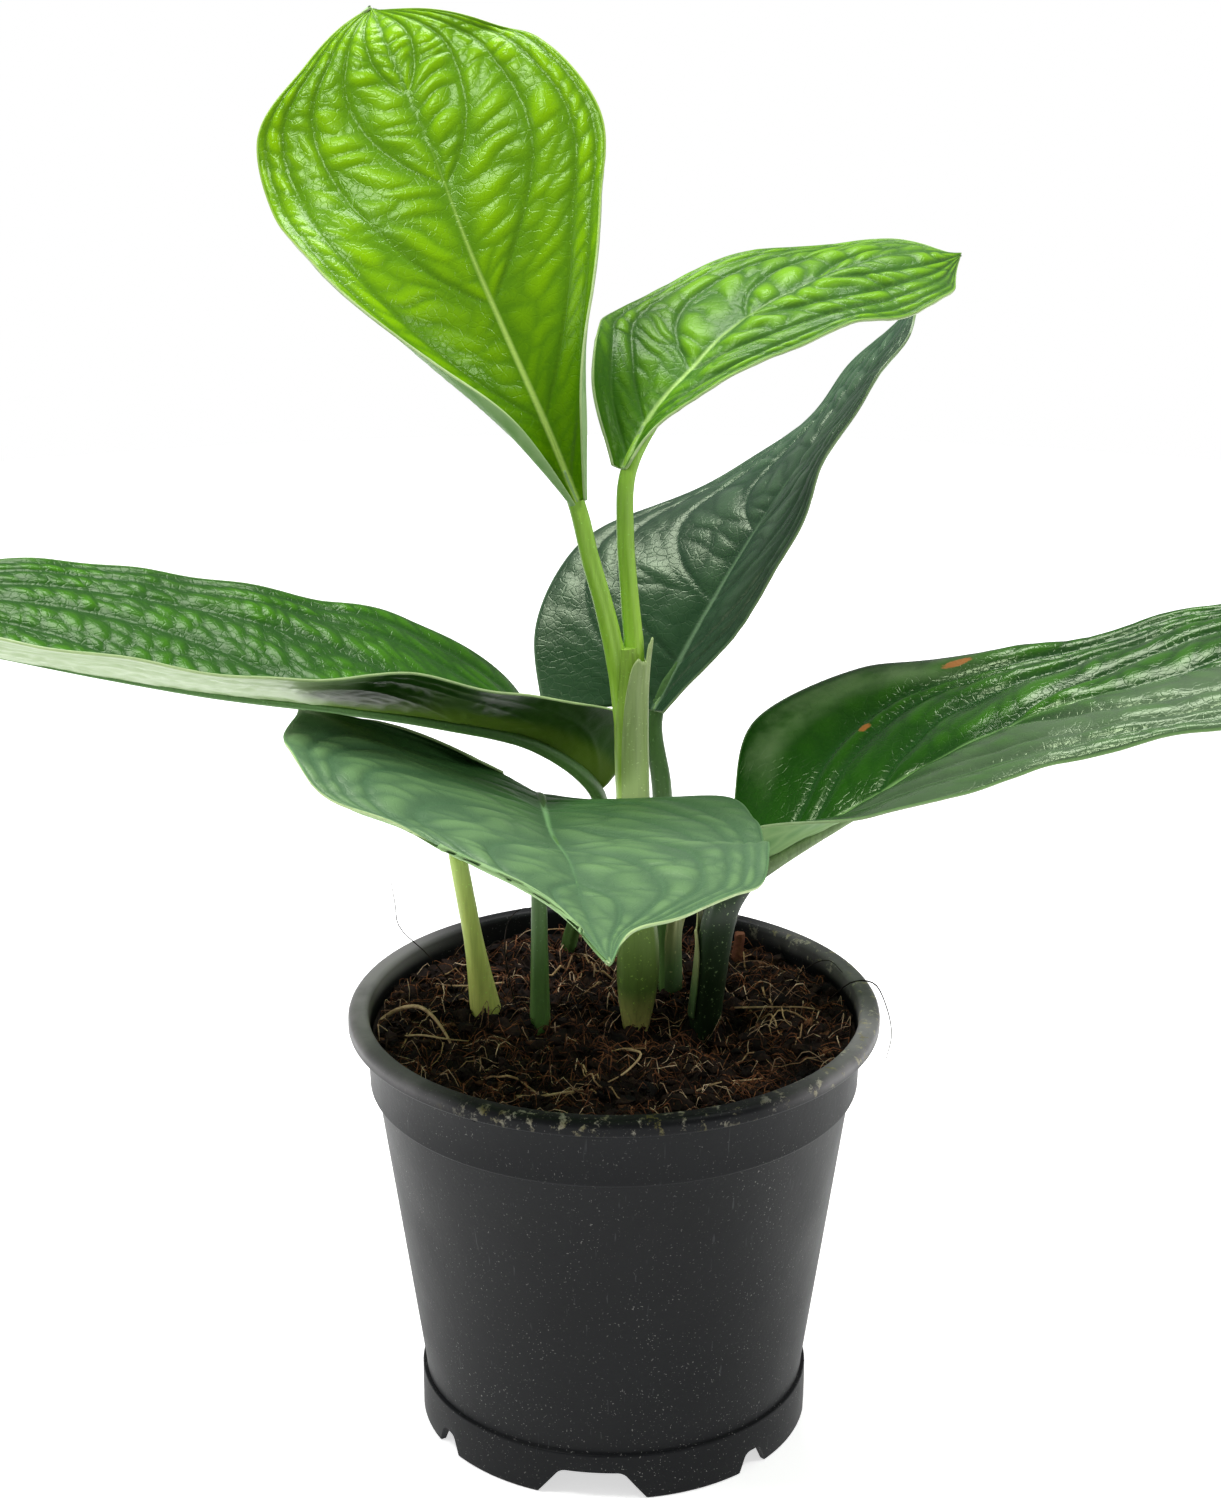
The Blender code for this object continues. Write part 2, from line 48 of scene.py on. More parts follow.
# ---------------------------------------------------------------------------
# Camera, light and floor
# A product shot: the pot stands on a plain white sweep under large soft lights,
# seen from the front and a little above.
# ---------------------------------------------------------------------------
scene = bpy.context.scene
scene.view_settings.view_transform = "Standard"

camera_data = bpy.data.cameras.new("camera")
camera_data.sensor_fit = "VERTICAL"
camera_data.sensor_height = 36.0
camera_data.lens = 78.2
camera = bpy.data.objects.new("camera", camera_data)
scene.collection.objects.link(camera)
camera.location = (-0.0008, -0.680, 0.4155)
camera.rotation_euler = (math.radians(90.0 - 20.25), 0.0, 0.0)
scene.camera = camera

world = bpy.data.worlds.new("studio")
world.use_nodes = True
backdrop = world.node_tree.nodes["Background"]
backdrop.inputs["Strength"].default_value = 1.0
seen = world.node_tree.nodes.new("ShaderNodeLightPath").outputs["Is Camera Ray"]
shade = world.node_tree.nodes.new("ShaderNodeMapRange")
shade.inputs["To Min"].default_value = 0.30
shade.inputs["To Max"].default_value = 1.0
world.node_tree.links.new(seen, shade.inputs["Value"])
world.node_tree.links.new(shade.outputs["Result"], backdrop.inputs["Color"])
scene.world = world


def soft_light(name, place, target, size, power, colour=(1, 1, 1)):
    lamp = bpy.data.lights.new(name, "AREA")
    lamp.shape = "RECTANGLE"
    lamp.size, lamp.size_y = size
    lamp.energy = power
    lamp.color = colour
    light = bpy.data.objects.new(name, lamp)
    light.location = place
    aim = Vector(target) - Vector(place)
    light.rotation_euler = aim.to_track_quat("-Z", "Y").to_euler()
    scene.collection.objects.link(light)


soft_light("key", (-0.35, -0.22, 1.15), (0, 0, 0.2), (0.35, 0.25), 8.0)
soft_light("top", (-0.05, 0.40, 1.0), (0, 0, 0.2), (0.45, 0.30), 7.0)
soft_light("glint", (0.50, -0.22, 0.95), (0, 0, 0.25), (0.16, 0.10), 1.6)
soft_light("left_strip", (-0.9, -0.1, 0.35), (0, 0, 0.15), (0.3, 0.6), 2.0)
soft_light("right_strip", (0.9, 0.1, 0.35), (0, 0, 0.15), (0.3, 0.6), 2.0)

floor_mesh = bmesh.new()
bmesh.ops.create_circle(floor_mesh, cap_ends=True, segments=96, radius=0.9)
floor_data = bpy.data.meshes.new("floor")
floor_mesh.to_mesh(floor_data)
floor_mesh.free()
floor = bpy.data.objects.new("floor", floor_data)
scene.collection.objects.link(floor)
floor_look = bpy.data.materials.new("white_sweep")
floor_look.use_nodes = True
floor_shader = floor_look.node_tree.nodes["Principled BSDF"]
floor_shader.inputs["Base Color"].default_value = (0.93, 0.93, 0.93, 1)
floor_shader.inputs["Roughness"].default_value = 0.9
floor_shader.inputs["Emission Color"].default_value = (1, 1, 1, 1)
floor_shader.inputs["Emission Strength"].default_value = 0.62
floor_data.materials.append(floor_look)

# ---------------------------------------------------------------------------
# Pot
# A thin moulded nursery pot of charcoal polypropylene: rolled lip, collar,
# tapered wall and a stepped skirt with drain notches. Dust, scuffs and lime crust,
# with a painted highlight on the lip at its sides.
# ---------------------------------------------------------------------------
pot_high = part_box("pot")[1]
POT_TOP = pot_high[2]
RIM = pot_high[0]
FOOT = 0.0454
WALL = 0.0011
SKIRT = 0.0115
FLOOR_UNDER = 0.0065
FLOOR_TOP = 0.0076
NOTCHES = 7
WIDE_NOTCHES = (0, 2, 5)
WIDE_NOTCH = (0.025, 0.0145, 0.0070)
NARROW_NOTCH = (0.009, 0.0045, 0.0050)
FIRST_NOTCH_ANGLE = -6.5
DRAIN_HOLE_RADIUS = 0.0035
DRAIN_HOLE_CIRCLE = 0.026


def new_object(name, mesh, material=None):
    made = bpy.data.objects.new(name, mesh)
    scene.collection.objects.link(made)
    if material:
        mesh.materials.append(material)
    return made


def finish_mesh(bm, name, sharp=50):
    mesh = bpy.data.meshes.new(name)
    bm.to_mesh(mesh)
    bm.free()
    mesh.shade_smooth()
    mesh.set_sharp_from_angle(angle=math.radians(sharp))
    return mesh


def spun(profile, steps):
    """Turn a half-section about Z. The section runs from the top inner edge, over and down."""
    bm = bmesh.new()
    verts = [bm.verts.new((radius, 0.0, height)) for radius, height in profile]
    for a, b in zip(verts, verts[1:]):
        bm.edges.new((a, b))
    bmesh.ops.spin(bm, geom=bm.verts[:] + bm.edges[:], cent=(0, 0, 0), axis=(0, 0, 1),
                   angle=2 * math.pi, steps=steps, use_merge=True, use_duplicate=False)
    bmesh.ops.remove_doubles(bm, verts=bm.verts, dist=1e-6)
    bmesh.ops.recalc_face_normals(bm, faces=bm.faces)
    return bm


def arc(centre, radius, start, end, steps):
    """Points on a quarter-round of a section, in degrees from +X."""
    points = []
    for i in range(steps + 1):
        a = math.radians(start + (end - start) * i / steps)
        points.append((centre[0] + radius * math.cos(a), centre[1] + radius * math.sin(a)))
    return points


collar = RIM - 0.0042
collar_low = POT_TOP - 0.0175
taper_top = collar - 0.0019
inner_foot = FOOT - 0.0009 - WALL
section = [(0.0, WALL), (0.0120, WALL), (0.0150, FLOOR_TOP), (inner_foot - 0.002, FLOOR_TOP),
           (inner_foot, 0.0096), (taper_top - WALL, collar_low - 0.001),
           (collar - WALL, collar_low + 0.0015)]
section += [(collar - WALL * 0.7, POT_TOP - 0.0032)]
section += arc((RIM - 0.0034, POT_TOP - 0.0013), 0.0013, 178, 92, 6)
section += arc((RIM - 0.0018, POT_TOP - 0.0018), 0.0018, 88, 2, 8)
section += [(RIM, POT_TOP - 0.0030)]
section += arc((RIM - 0.0005, POT_TOP - 0.0032), 0.0005, -2, -88, 4)
section += [(RIM - WALL, POT_TOP - 0.0036), (RIM - WALL - 0.0006, POT_TOP - 0.0024)]
section += [(collar + 0.0006, POT_TOP - 0.0027), (collar, POT_TOP - 0.0036)]
section += [(collar - 0.0005, collar_low + 0.0004)]
section += arc((collar - 0.0011, collar_low + 0.0001), 0.0006, 10, -80, 4)
section += [(taper_top, collar_low - 0.0009), (taper_top - 0.0003, collar_low - 0.0016)]
section += [(FOOT - 0.0008, SKIRT + 0.0020), (FOOT - 0.0009, SKIRT + 0.0002)]
section += arc((FOOT - 0.0005, SKIRT - 0.0005), 0.0005, 90, 0, 4)
section += [(FOOT, 0.0004), (FOOT - 0.0004, 0.0), (FOOT - WALL * 1.4, 0.0)]
section += [(FOOT - 0.0025, FLOOR_UNDER), (0.0160, FLOOR_UNDER), (0.0140, 0.0), (0.0, 0.0)]
pot_mesh = spun(section, 160)


def notch(angle, low_width, high_width, height):
    """A tapered block, its upper corners rounded, that cuts one drain notch in the skirt."""
    bm = bmesh.new()
    bmesh.ops.create_cube(bm, size=1.0)
    for vert in bm.verts:
        upper = vert.co.z > 0
        vert.co.x *= high_width if upper else low_width * 1.08
        vert.co.y = vert.co.y * 0.006 - (FOOT - 0.0012)
        vert.co.z = height if upper else -0.001
    corners = [e for e in bm.edges if abs(e.verts[0].co.z - e.verts[1].co.z) < 1e-6
               and e.verts[0].co.z > 0 and abs(e.verts[0].co.y - e.verts[1].co.y) > 1e-4]
    bmesh.ops.bevel(bm, geom=corners, offset=0.0012, affect="EDGES", segments=3,
                    profile=0.5, material=-1)
    bmesh.ops.rotate(bm, matrix=Matrix.Rotation(angle, 3, "Z"), verts=bm.verts)
    bmesh.ops.recalc_face_normals(bm, faces=bm.faces)
    return bm


pot = new_object("pot_shell", finish_mesh(pot_mesh, "pot_shell", 35))
tools = []
for i in range(NOTCHES):
    turn = math.radians(FIRST_NOTCH_ANGLE + 360 / NOTCHES * i)
    shape = WIDE_NOTCH if i in WIDE_NOTCHES else NARROW_NOTCH
    tools.append(new_object(f"notch_tool_{i}", finish_mesh(notch(turn, *shape), "notch_tool")))
    hole = bmesh.new()
    bmesh.ops.create_cone(hole, cap_ends=True, segments=32, radius1=DRAIN_HOLE_RADIUS,
                          radius2=DRAIN_HOLE_RADIUS, depth=0.008)
    place = Matrix.Rotation(turn, 4, "Z") @ Matrix.Translation((0, DRAIN_HOLE_CIRCLE, FLOOR_UNDER))
    bmesh.ops.transform(hole, matrix=place, verts=hole.verts)
    tools.append(new_object(f"drain_tool_{i}", finish_mesh(hole, "drain_tool")))
for tool in tools:
    boolean = pot.modifiers.new("opening", "BOOLEAN")
    boolean.operation = "DIFFERENCE"
    boolean.object = tool
bpy.context.view_layer.update()
cut_mesh = bpy.data.meshes.new_from_object(pot.evaluated_get(bpy.context.evaluated_depsgraph_get()))
bpy.data.objects.remove(pot)
for tool in tools:
    bpy.data.objects.remove(tool)
pot = new_object("pot_shell", cut_mesh)
pot.data.shade_smooth()
pot.data.set_sharp_from_angle(angle=math.radians(35))


def material(name, roughness=0.5):
    look = bpy.data.materials.new(name)
    look.use_nodes = True
    shader = look.node_tree.nodes["Principled BSDF"]
    shader.inputs["Roughness"].default_value = roughness
    return look, look.node_tree, shader


def node(tree, kind, **settings):
    made = tree.nodes.new("ShaderNode" + kind)
    for key, value in settings.items():
        setattr(made, key, value)
    return made


def noise_node(tree, coords, scale, detail=4.0, rough=0.55):
    made = node(tree, "TexNoise")
    made.inputs["Scale"].default_value = scale
    made.inputs["Detail"].default_value = detail
    made.inputs["Roughness"].default_value = rough
    tree.links.new(coords, made.inputs["Vector"])
    return made.outputs["Fac"]


def ramp(tree, source, stops):
    made = node(tree, "ValToRGB")
    bar = made.color_ramp
    while len(bar.elements) < len(stops):
        bar.elements.new(0.5)
    for stop, (place, colour) in zip(bar.elements, stops):
        stop.position = place
        stop.color = (*colour, 1.0) if len(colour) == 3 else colour
    tree.links.new(source, made.inputs["Fac"])
    return made.outputs["Color"]


def blend(tree, fac, a, b, mode="MIX"):
    made = node(tree, "Mix", data_type="RGBA", blend_type=mode)
    for value, socket in ((fac, 0), (a, 6), (b, 7)):
        if isinstance(value, (float, int)):
            made.inputs[socket].default_value = value
        elif isinstance(value, tuple):
            made.inputs[socket].default_value = (*value, 1.0)
        else:
            tree.links.new(value, made.inputs[socket])
    return made.outputs[2]


def maths(tree, kind, a, b=None, clamp=False):
    made = node(tree, "Math", operation=kind)
    made.use_clamp = clamp
    for value, socket in ((a, 0), (b, 1)):
        if value is None:
            continue
        if isinstance(value, (float, int)):
            made.inputs[socket].default_value = value
        else:
            tree.links.new(value, made.inputs[socket])
    return made.outputs[0]


def spread(tree, value, low, high, to_low=0.0, to_high=1.0):
    made = node(tree, "MapRange", interpolation_type="SMOOTHSTEP")
    made.inputs["From Min"].default_value = low
    made.inputs["From Max"].default_value = high
    made.inputs["To Min"].default_value = to_low
    made.inputs["To Max"].default_value = to_high
    tree.links.new(value, made.inputs["Value"])
    return made.outputs[0]


def bump(tree, shader, height, strength, distance):
    made = node(tree, "Bump")
    made.inputs["Strength"].default_value = strength
    made.inputs["Distance"].default_value = distance
    tree.links.new(height, made.inputs["Height"])
    tree.links.new(made.outputs[0], shader.inputs["Normal"])


plastic, tree, shader = material("charcoal_plastic", 0.5)
place = node(tree, "TexCoord").outputs["Object"]
split = node(tree, "SeparateXYZ")
tree.links.new(place, split.inputs[0])
cloud = noise_node(tree, place, 45.0, 5.0)
fine = noise_node(tree, place, 900.0, 3.0)
squash = node(tree, "Mapping")
squash.inputs["Scale"].default_value = (900.0, 900.0, 60.0)
tree.links.new(place, squash.inputs["Vector"])
scuff = noise_node(tree, squash.outputs[0], 1.0, 2.0)
scuffs = spread(tree, scuff, 0.68, 0.76)
low_zone = maths(tree, "SUBTRACT", 0.045, split.outputs["Z"])
rare = maths(tree, "ADD", noise_node(tree, place, 60.0, 3.0), maths(tree, "MULTIPLY", low_zone, 1.6))
dust = noise_node(tree, place, 2300.0, 2.0, 0.3)
specks = maths(tree, "MULTIPLY", spread(tree, dust, 0.69, 0.74), spread(tree, rare, 0.38, 0.70, 0.25, 0.8))
base = ramp(tree, cloud, [(0.3, (0.0036, 0.0041, 0.0050)), (0.7, (0.0068, 0.0074, 0.0086))])
pot_colour = blend(tree, maths(tree, "MULTIPLY", scuffs, 0.10), base, (0.20, 0.21, 0.22))
pot_colour = blend(tree, maths(tree, "MULTIPLY", specks, 0.40), pot_colour, (0.50, 0.49, 0.46))
lip_zone = spread(tree, split.outputs["Z"], POT_TOP - 0.0045, POT_TOP - 0.0015)
# Painted highlight: the top of the lip at its left and right sides gets a light grey tone in place of the
# lamps' reflection.
sides = spread(tree, maths(tree, "ABSOLUTE", split.outputs["X"]), 0.030, 0.057)
patchy = spread(tree, cloud, 0.3, 0.6, 0.5, 1.0)
lip_highlight = maths(tree, "MULTIPLY", maths(tree, "MULTIPLY", lip_zone, sides), patchy)
pot_colour = blend(tree, lip_highlight, pot_colour, (0.240, 0.232, 0.236))
side_zone = spread(tree, split.outputs["X"], 0.022, 0.05)
front_zone = spread(tree, maths(tree, "MULTIPLY", split.outputs["Y"], -1.0), 0.045, 0.058)
zone = maths(tree, "MAXIMUM", side_zone, maths(tree, "MULTIPLY", front_zone, 0.7))
lime = spread(tree, noise_node(tree, place, 330.0, 6.0, 0.7), 0.54, 0.62)
crust = maths(tree, "MULTIPLY", maths(tree, "MULTIPLY", lip_zone, zone), lime)
crust_tone = ramp(tree, noise_node(tree, place, 150.0, 3.0),
                  [(0.35, (0.22, 0.19, 0.05)), (0.6, (0.55, 0.52, 0.42))])
pot_colour = blend(tree, maths(tree, "MULTIPLY", crust, 0.75), pot_colour, crust_tone)
tree.links.new(pot_colour, shader.inputs["Base Color"])
gloss = maths(tree, "ADD", maths(tree, "MULTIPLY", cloud, 0.25), 0.34)
gloss = maths(tree, "ADD", gloss, maths(tree, "MULTIPLY", crust, 0.4), clamp=True)
tree.links.new(gloss, shader.inputs["Roughness"])
relief = maths(tree, "ADD", maths(tree, "MULTIPLY", fine, 0.3), maths(tree, "MULTIPLY", crust, 1.6))
relief = maths(tree, "ADD", relief, maths(tree, "MULTIPLY", cloud, 1.2))
bump(tree, shader, relief, 0.35, 0.0003)
shader.inputs["Specular IOR Level"].default_value = 0.14
pot.data.materials.clear()
pot.data.materials.append(plastic)
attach(pot, "root")
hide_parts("pot")

# ---------------------------------------------------------------------------
# Soil
# Moist, near-black coir and peat, loose and uneven on top and banked against the
# wall, with red-brown coir fibres, crumbs and a few pale dry roots lying in it.
# ---------------------------------------------------------------------------
SOIL_LINE = 0.095
SOIL_EDGE = RIM - 0.0055
HOLLOWS = ((0.006, -0.004, 0.008, 0.0035), (0.023, -0.006, 0.009, 0.0050), (-0.017, -0.002, 0.007, 0.0025))


def soil_height(x, y):
    share = min(math.hypot(x, y) / RIM, 1.0)
    lumps = noise.noise(Vector((x * 90, y * 90, 0.3))) + 0.5 * noise.noise(Vector((x * 210, y * 210, 1.7)))
    fade = 1.0 - share**6
    return SOIL_LINE + 0.003 * (1.0 - share**2) + 0.0011 * lumps * fade


def crumbly_height(x, y):
    rough = noise.fractal(Vector((x * 260, y * 260, 4.0)), 1.0, 2.0, 5)
    fade = 1.0 - min(math.hypot(x, y) / SOIL_EDGE, 1.0) ** 8
    hollow = 0.0
    for centre_x, centre_y, radius, depth in HOLLOWS:
        hollow += depth * math.exp(-((x - centre_x) ** 2 + (y - centre_y) ** 2) / radius**2)
    banked = 0.0018 * min(math.hypot(x, y) / SOIL_EDGE, 1.0) ** 3
    return soil_height(x, y) + banked + (0.0029 * rough - hollow) * fade - 0.0006


soil_section = [(0.0, 0.0079), (0.030, 0.0079), (inner_foot - 0.0020, 0.0081), (inner_foot - 0.0008, 0.0100),
                (taper_top - WALL - 0.0004, collar_low - 0.0009), (SOIL_EDGE, collar_low + 0.0017)]
soil_rings = 70
soil_section += [(SOIL_EDGE * (1 - i / soil_rings), SOIL_LINE) for i in range(soil_rings + 1)]
soil_mesh = spun(list(reversed(soil_section)), 220)
for vert in soil_mesh.verts:
    if vert.co.z > SOIL_LINE - 0.0001:
        vert.co.z = crumbly_height(vert.co.x, vert.co.y)

earth, tree, shader = material("coir_and_peat", 0.9)
place = node(tree, "TexCoord").outputs["Object"]
broad = noise_node(tree, place, 220.0, 5.0, 0.7)
grain = noise_node(tree, place, 1600.0, 4.0, 0.7)
tone = ramp(tree, broad, [(0.30, (0.004, 0.003, 0.003)), (0.55, (0.014, 0.009, 0.007)),
                          (0.75, (0.050, 0.026, 0.017))])
tone = blend(tree, spread(tree, grain, 0.62, 0.75), tone, (0.085, 0.048, 0.030))
shader.inputs["Specular IOR Level"].default_value = 0.12
tree.links.new(tone, shader.inputs["Base Color"])
bump(tree, shader, maths(tree, "ADD", broad, maths(tree, "MULTIPLY", grain, 0.5)), 0.9, 0.0008)
soil = new_object("soil_bed", finish_mesh(soil_mesh, "soil_bed", 80), earth)
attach(soil, "root")
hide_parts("soil")


def loose_tone(name, dark, light, roughness=0.85):
    """Colour that changes from crumb to crumb and fibre to fibre."""
    look, tree, shader = material(name, roughness)
    place = node(tree, "TexCoord").outputs["Object"]
    cell = node(tree, "TexVoronoi")
    cell.inputs["Scale"].default_value = 260.0
    tree.links.new(place, cell.inputs["Vector"])
    part = node(tree, "SeparateColor")
    tree.links.new(cell.outputs["Color"], part.inputs[0])
    mixed = blend(tree, part.outputs[0], dark, light)
    grain = noise_node(tree, place, 1500.0, 3.0)
    mixed = blend(tree, spread(tree, grain, 0.35, 0.7, 0.0, 0.6), mixed, dark)
    shader.inputs["Specular IOR Level"].default_value = 0.12
    tree.links.new(mixed, shader.inputs["Base Color"])
    bump(tree, shader, grain, 0.6, 0.0003)
    return look


def add_crumbs(name, count, smallest, largest, look):
    """Rounded lumps of many sizes, each dented its own way and half sunk into the soil."""
    bm = bmesh.new()
    single = bpy.data.meshes.new(name + "_single")
    for _ in range(count):
        crumb = bmesh.new()
        reach = (SOIL_EDGE - 0.001) * math.sqrt(random.random())
        turn = random.uniform(0, 2 * math.pi)
        x, y = reach * math.cos(turn), reach * math.sin(turn)
        size = random.uniform(smallest, largest)
        bmesh.ops.create_icosphere(crumb, subdivisions=2 if size > 0.0011 else 1, radius=size)
        seed = Vector((random.random() * 50, random.random() * 50, 0))
        for vert in crumb.verts:
            vert.co *= 1.0 + 0.85 * noise.noise(vert.co / size * 1.5 + seed)
        stretch = (random.uniform(0.7, 1.8), random.uniform(0.5, 1.2), random.uniform(0.35, 0.8))
        bmesh.ops.scale(crumb, vec=stretch, verts=crumb.verts)
        heading = Matrix.Rotation(random.uniform(0, 6.3), 3, "Z")
        tilt = Matrix.Rotation(random.uniform(-0.6, 0.6), 3, "X")
        bmesh.ops.rotate(crumb, matrix=heading @ tilt, verts=crumb.verts)
        bmesh.ops.translate(crumb, vec=(x, y, crumbly_height(x, y) + size * 0.25), verts=crumb.verts)
        crumb.to_mesh(single)
        crumb.free()
        bm.from_mesh(single)
    bpy.data.meshes.remove(single)
    crumbs = new_object(name, finish_mesh(bm, name, 60), look)
    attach(crumbs, "root")


add_crumbs("dark_crumbs", 1500, 0.0004, 0.0019,
           loose_tone("damp_peat", (0.002, 0.0015, 0.0015), (0.026, 0.013, 0.009)))
add_crumbs("brown_crumbs", 260, 0.0004, 0.0012,
           loose_tone("coir_dust", (0.04, 0.017, 0.010), (0.17, 0.08, 0.04)))


def strand_path(x, y, length, rise, bend, points=6):
    """A strand that lies on the soil, wandering sideways and arching up by rise."""
    heading = random.uniform(0, 2 * math.pi)
    step = length / (points - 1)
    swing = random.uniform(-bend, bend)
    path = []
    for i in range(points):
        t = i / (points - 1)
        reach = math.hypot(x, y)
        if reach > SOIL_EDGE - 0.0012:
            x *= (SOIL_EDGE - 0.0012) / reach
            y *= (SOIL_EDGE - 0.0012) / reach
        lift = rise * math.sin(math.pi * min(1.0, t * 1.1)) + 0.0003
        path.append(Vector((x, y, crumbly_height(x, y) + lift)))
        heading += swing + random.uniform(-0.35, 0.35)
        x += step * math.cos(heading)
        y += step * math.sin(heading)
    return path


def add_strands(name, paths, thin, thick, look, sides=0):
    """Fibres as one curve object, made a mesh: a few-sided tube along each path."""
    data = bpy.data.curves.new(name, "CURVE")
    data.dimensions = "3D"
    data.bevel_depth = 1.0
    data.bevel_resolution = sides
    data.use_fill_caps = True
    for path in paths:
        spline = data.splines.new("POLY")
        spline.points.add(len(path) - 1)
        radius = random.uniform(thin, thick)
        for i, (point, co) in enumerate(zip(spline.points, path)):
            point.co = (*co, 1.0)
            point.radius = radius * (1.0 - 0.6 * (i / (len(path) - 1)) ** 2)
    made = bpy.data.objects.new(name, data)
    scene.collection.objects.link(made)
    bpy.context.view_layer.update()
    mesh = bpy.data.meshes.new_from_object(made.evaluated_get(bpy.context.evaluated_depsgraph_get()))
    bpy.data.objects.remove(made)
    bm = bmesh.new()
    bm.from_mesh(mesh)
    bmesh.ops.remove_doubles(bm, verts=bm.verts, dist=1e-7)
    bm.to_mesh(mesh)
    bm.free()
    mesh.materials.clear()
    mesh.shade_smooth()
    strands = new_object(name, mesh, look)
    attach(strands, "root")
    return strands


def scattered(count, short, long, rise, bend, points=6):
    """Strand paths spread evenly over the whole soil."""
    paths = []
    for _ in range(count):
        reach = (SOIL_EDGE - 0.002) * math.sqrt(random.random())
        turn = random.uniform(0, 2 * math.pi)
        length = random.uniform(short, long)
        paths.append(strand_path(reach * math.cos(turn), reach * math.sin(turn), length,
                                 random.uniform(0, rise), bend, points))
    return paths


add_strands("dark_fibres", scattered(1500, 0.003, 0.010, 0.0015, 0.5), 0.00007, 0.00022,
            loose_tone("dark_coir", (0.008, 0.005, 0.004), (0.045, 0.022, 0.014)))
add_strands("pale_fibres", scattered(300, 0.004, 0.013, 0.0040, 0.45), 0.00006, 0.00014,
            loose_tone("pale_coir", (0.22, 0.12, 0.07), (0.90, 0.68, 0.46), 0.7))
add_strands("red_fibres", scattered(1100, 0.004, 0.012, 0.0035, 0.5), 0.00006, 0.00016,
            loose_tone("red_coir", (0.016, 0.006, 0.004), (0.30, 0.12, 0.055)))
add_strands("dry_roots", scattered(46, 0.008, 0.022, 0.0030, 0.35, 9), 0.00012, 0.00030,
            loose_tone("dry_root", (0.22, 0.13, 0.065), (0.55, 0.38, 0.20), 0.7), 1)

# ---------------------------------------------------------------------------
# Roots, hairs and a dead stub
# One thick tan root arches over the soil at the left, thin black hairs stand up or
# hang over the lip, and a broken reddish stub stands at the back right.
# ---------------------------------------------------------------------------
MM = 0.001


def curve_value(values, t):
    """Smooth value at t from 0 to 1 through evenly spaced numbers or vectors."""
    last = len(values) - 1
    place = min(max(t, 0.0), 1.0) * last
    i = min(int(place), last - 1)
    f = place - i
    b, c = values[i], values[i + 1]
    a = values[i - 1] if i > 0 else b * 2 - c
    d = values[i + 2] if i + 2 <= last else c * 2 - b
    return (b * 2 + (c - a) * f + (a * 2 - b * 5 + c * 4 - d) * f**2
            + (b * 3 - a - c * 3 + d) * f**3) * 0.5


def smooth_path(points, count):
    vectors = [Vector(point) * MM for point in points]
    return [curve_value(vectors, i / (count - 1)) for i in range(count)]


root_look = loose_tone("tan_root", (0.30, 0.19, 0.10), (0.62, 0.45, 0.26), 0.6)
arch = [(-54, 4, 96.5), (-50, 3.5, 99.5), (-45, 1, 101.5), (-41, -4, 101),
        (-37.5, -10, 98.5), (-36, -14, 96.5)]
root = add_strands("arching_root", [smooth_path(arch, 26)], 0.00052, 0.00052, root_look, 3)
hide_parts("surface_root")
roots = [
    [(-50, -6, 97), (-44, -9, 99), (-38, -11, 99), (-33, -9, 97.5)],
    [(-24, -34, 96), (-16, -38, 98), (-8, -36, 98), (-2, -39, 96)],
    [(14, -36, 96), (22, -33, 98.5), (30, -30, 98), (36, -24, 96)],
    [(28, 8, 98), (36, 4, 100), (44, 6, 99), (49, 10, 96)],
    [(-26, 22, 98), (-32, 16, 100), (-38, 17, 99.5), (-43, 24, 97)],
    [(2, -14, 98), (6, -22, 100.5), (2, -30, 99.5), (-5, -33, 97)],
]
add_strands("thin_roots", [smooth_path(path, 16) for path in roots], 0.00020, 0.00036, root_look, 2)

hair_look = loose_tone("black_hair", (0.006, 0.005, 0.004), (0.03, 0.02, 0.015), 0.5)
hairs = [
    [(-35, 8, 97), (-38, 7, 105), (-43, 7, 112), (-49, 6, 119), (-50, 6, 125), (-51, 6, 132)],
    [(-22, 6, 97), (-24, 5, 106), (-25, 4, 115), (-24, 3, 122), (-21, 3, 125), (-18, 3, 125)],
    [(-33, 12, 98), (-31, 11, 108), (-27, 10, 114), (-25, 9, 111)],
    [(50, 14, 97), (55, 10, 103.5), (60, 6, 105), (62.6, 2, 101), (63.8, 0, 95), (62.6, -1, 89)],
    [(-4, -10, 98), (-8, -12, 106), (-7, -14, 112), (-4, -15, 116)],
    [(40, 20, 97), (45, 17, 104), (50, 17, 106), (54, 18, 102)],
    [(10, -20, 98), (14, -24, 103), (19, -26, 103), (22, -28, 98)],
]
add_strands("standing_hairs", [smooth_path(path, 22) for path in hairs], 0.00015, 0.00020,
            hair_look, 1)

stub_low, stub_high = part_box("wood_stub")
stub_bm = bmesh.new()
bmesh.ops.create_cone(stub_bm, cap_ends=True, segments=14, radius1=0.0016, radius2=0.0012, depth=0.016)
side_edges = [e for e in stub_bm.edges if abs(e.verts[0].co.z - e.verts[1].co.z) > 0.01]
bmesh.ops.subdivide_edges(stub_bm, edges=side_edges, cuts=9, use_grid_fill=True)
stub_middle = Vector(((stub_low[0] + stub_high[0]) / 2, (stub_low[1] + stub_high[1]) / 2,
                      stub_high[2] - 0.008))
for vert in stub_bm.verts:
    bark = 1.0 + 0.30 * noise.noise(vert.co * 700)
    vert.co.x *= bark
    vert.co.y *= bark
    if vert.co.z > 0.007:
        vert.co.z += 0.0016 * noise.noise(vert.co * 1500)
    vert.co.x += 0.10 * vert.co.z
    vert.co += stub_middle
bmesh.ops.recalc_face_normals(stub_bm, faces=stub_bm.faces)
stub_look = loose_tone("dead_wood", (0.10, 0.030, 0.018), (0.26, 0.11, 0.06), 0.75)
stub = new_object("broken_stub", finish_mesh(stub_bm, "broken_stub", 60), stub_look)
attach(stub, "root")
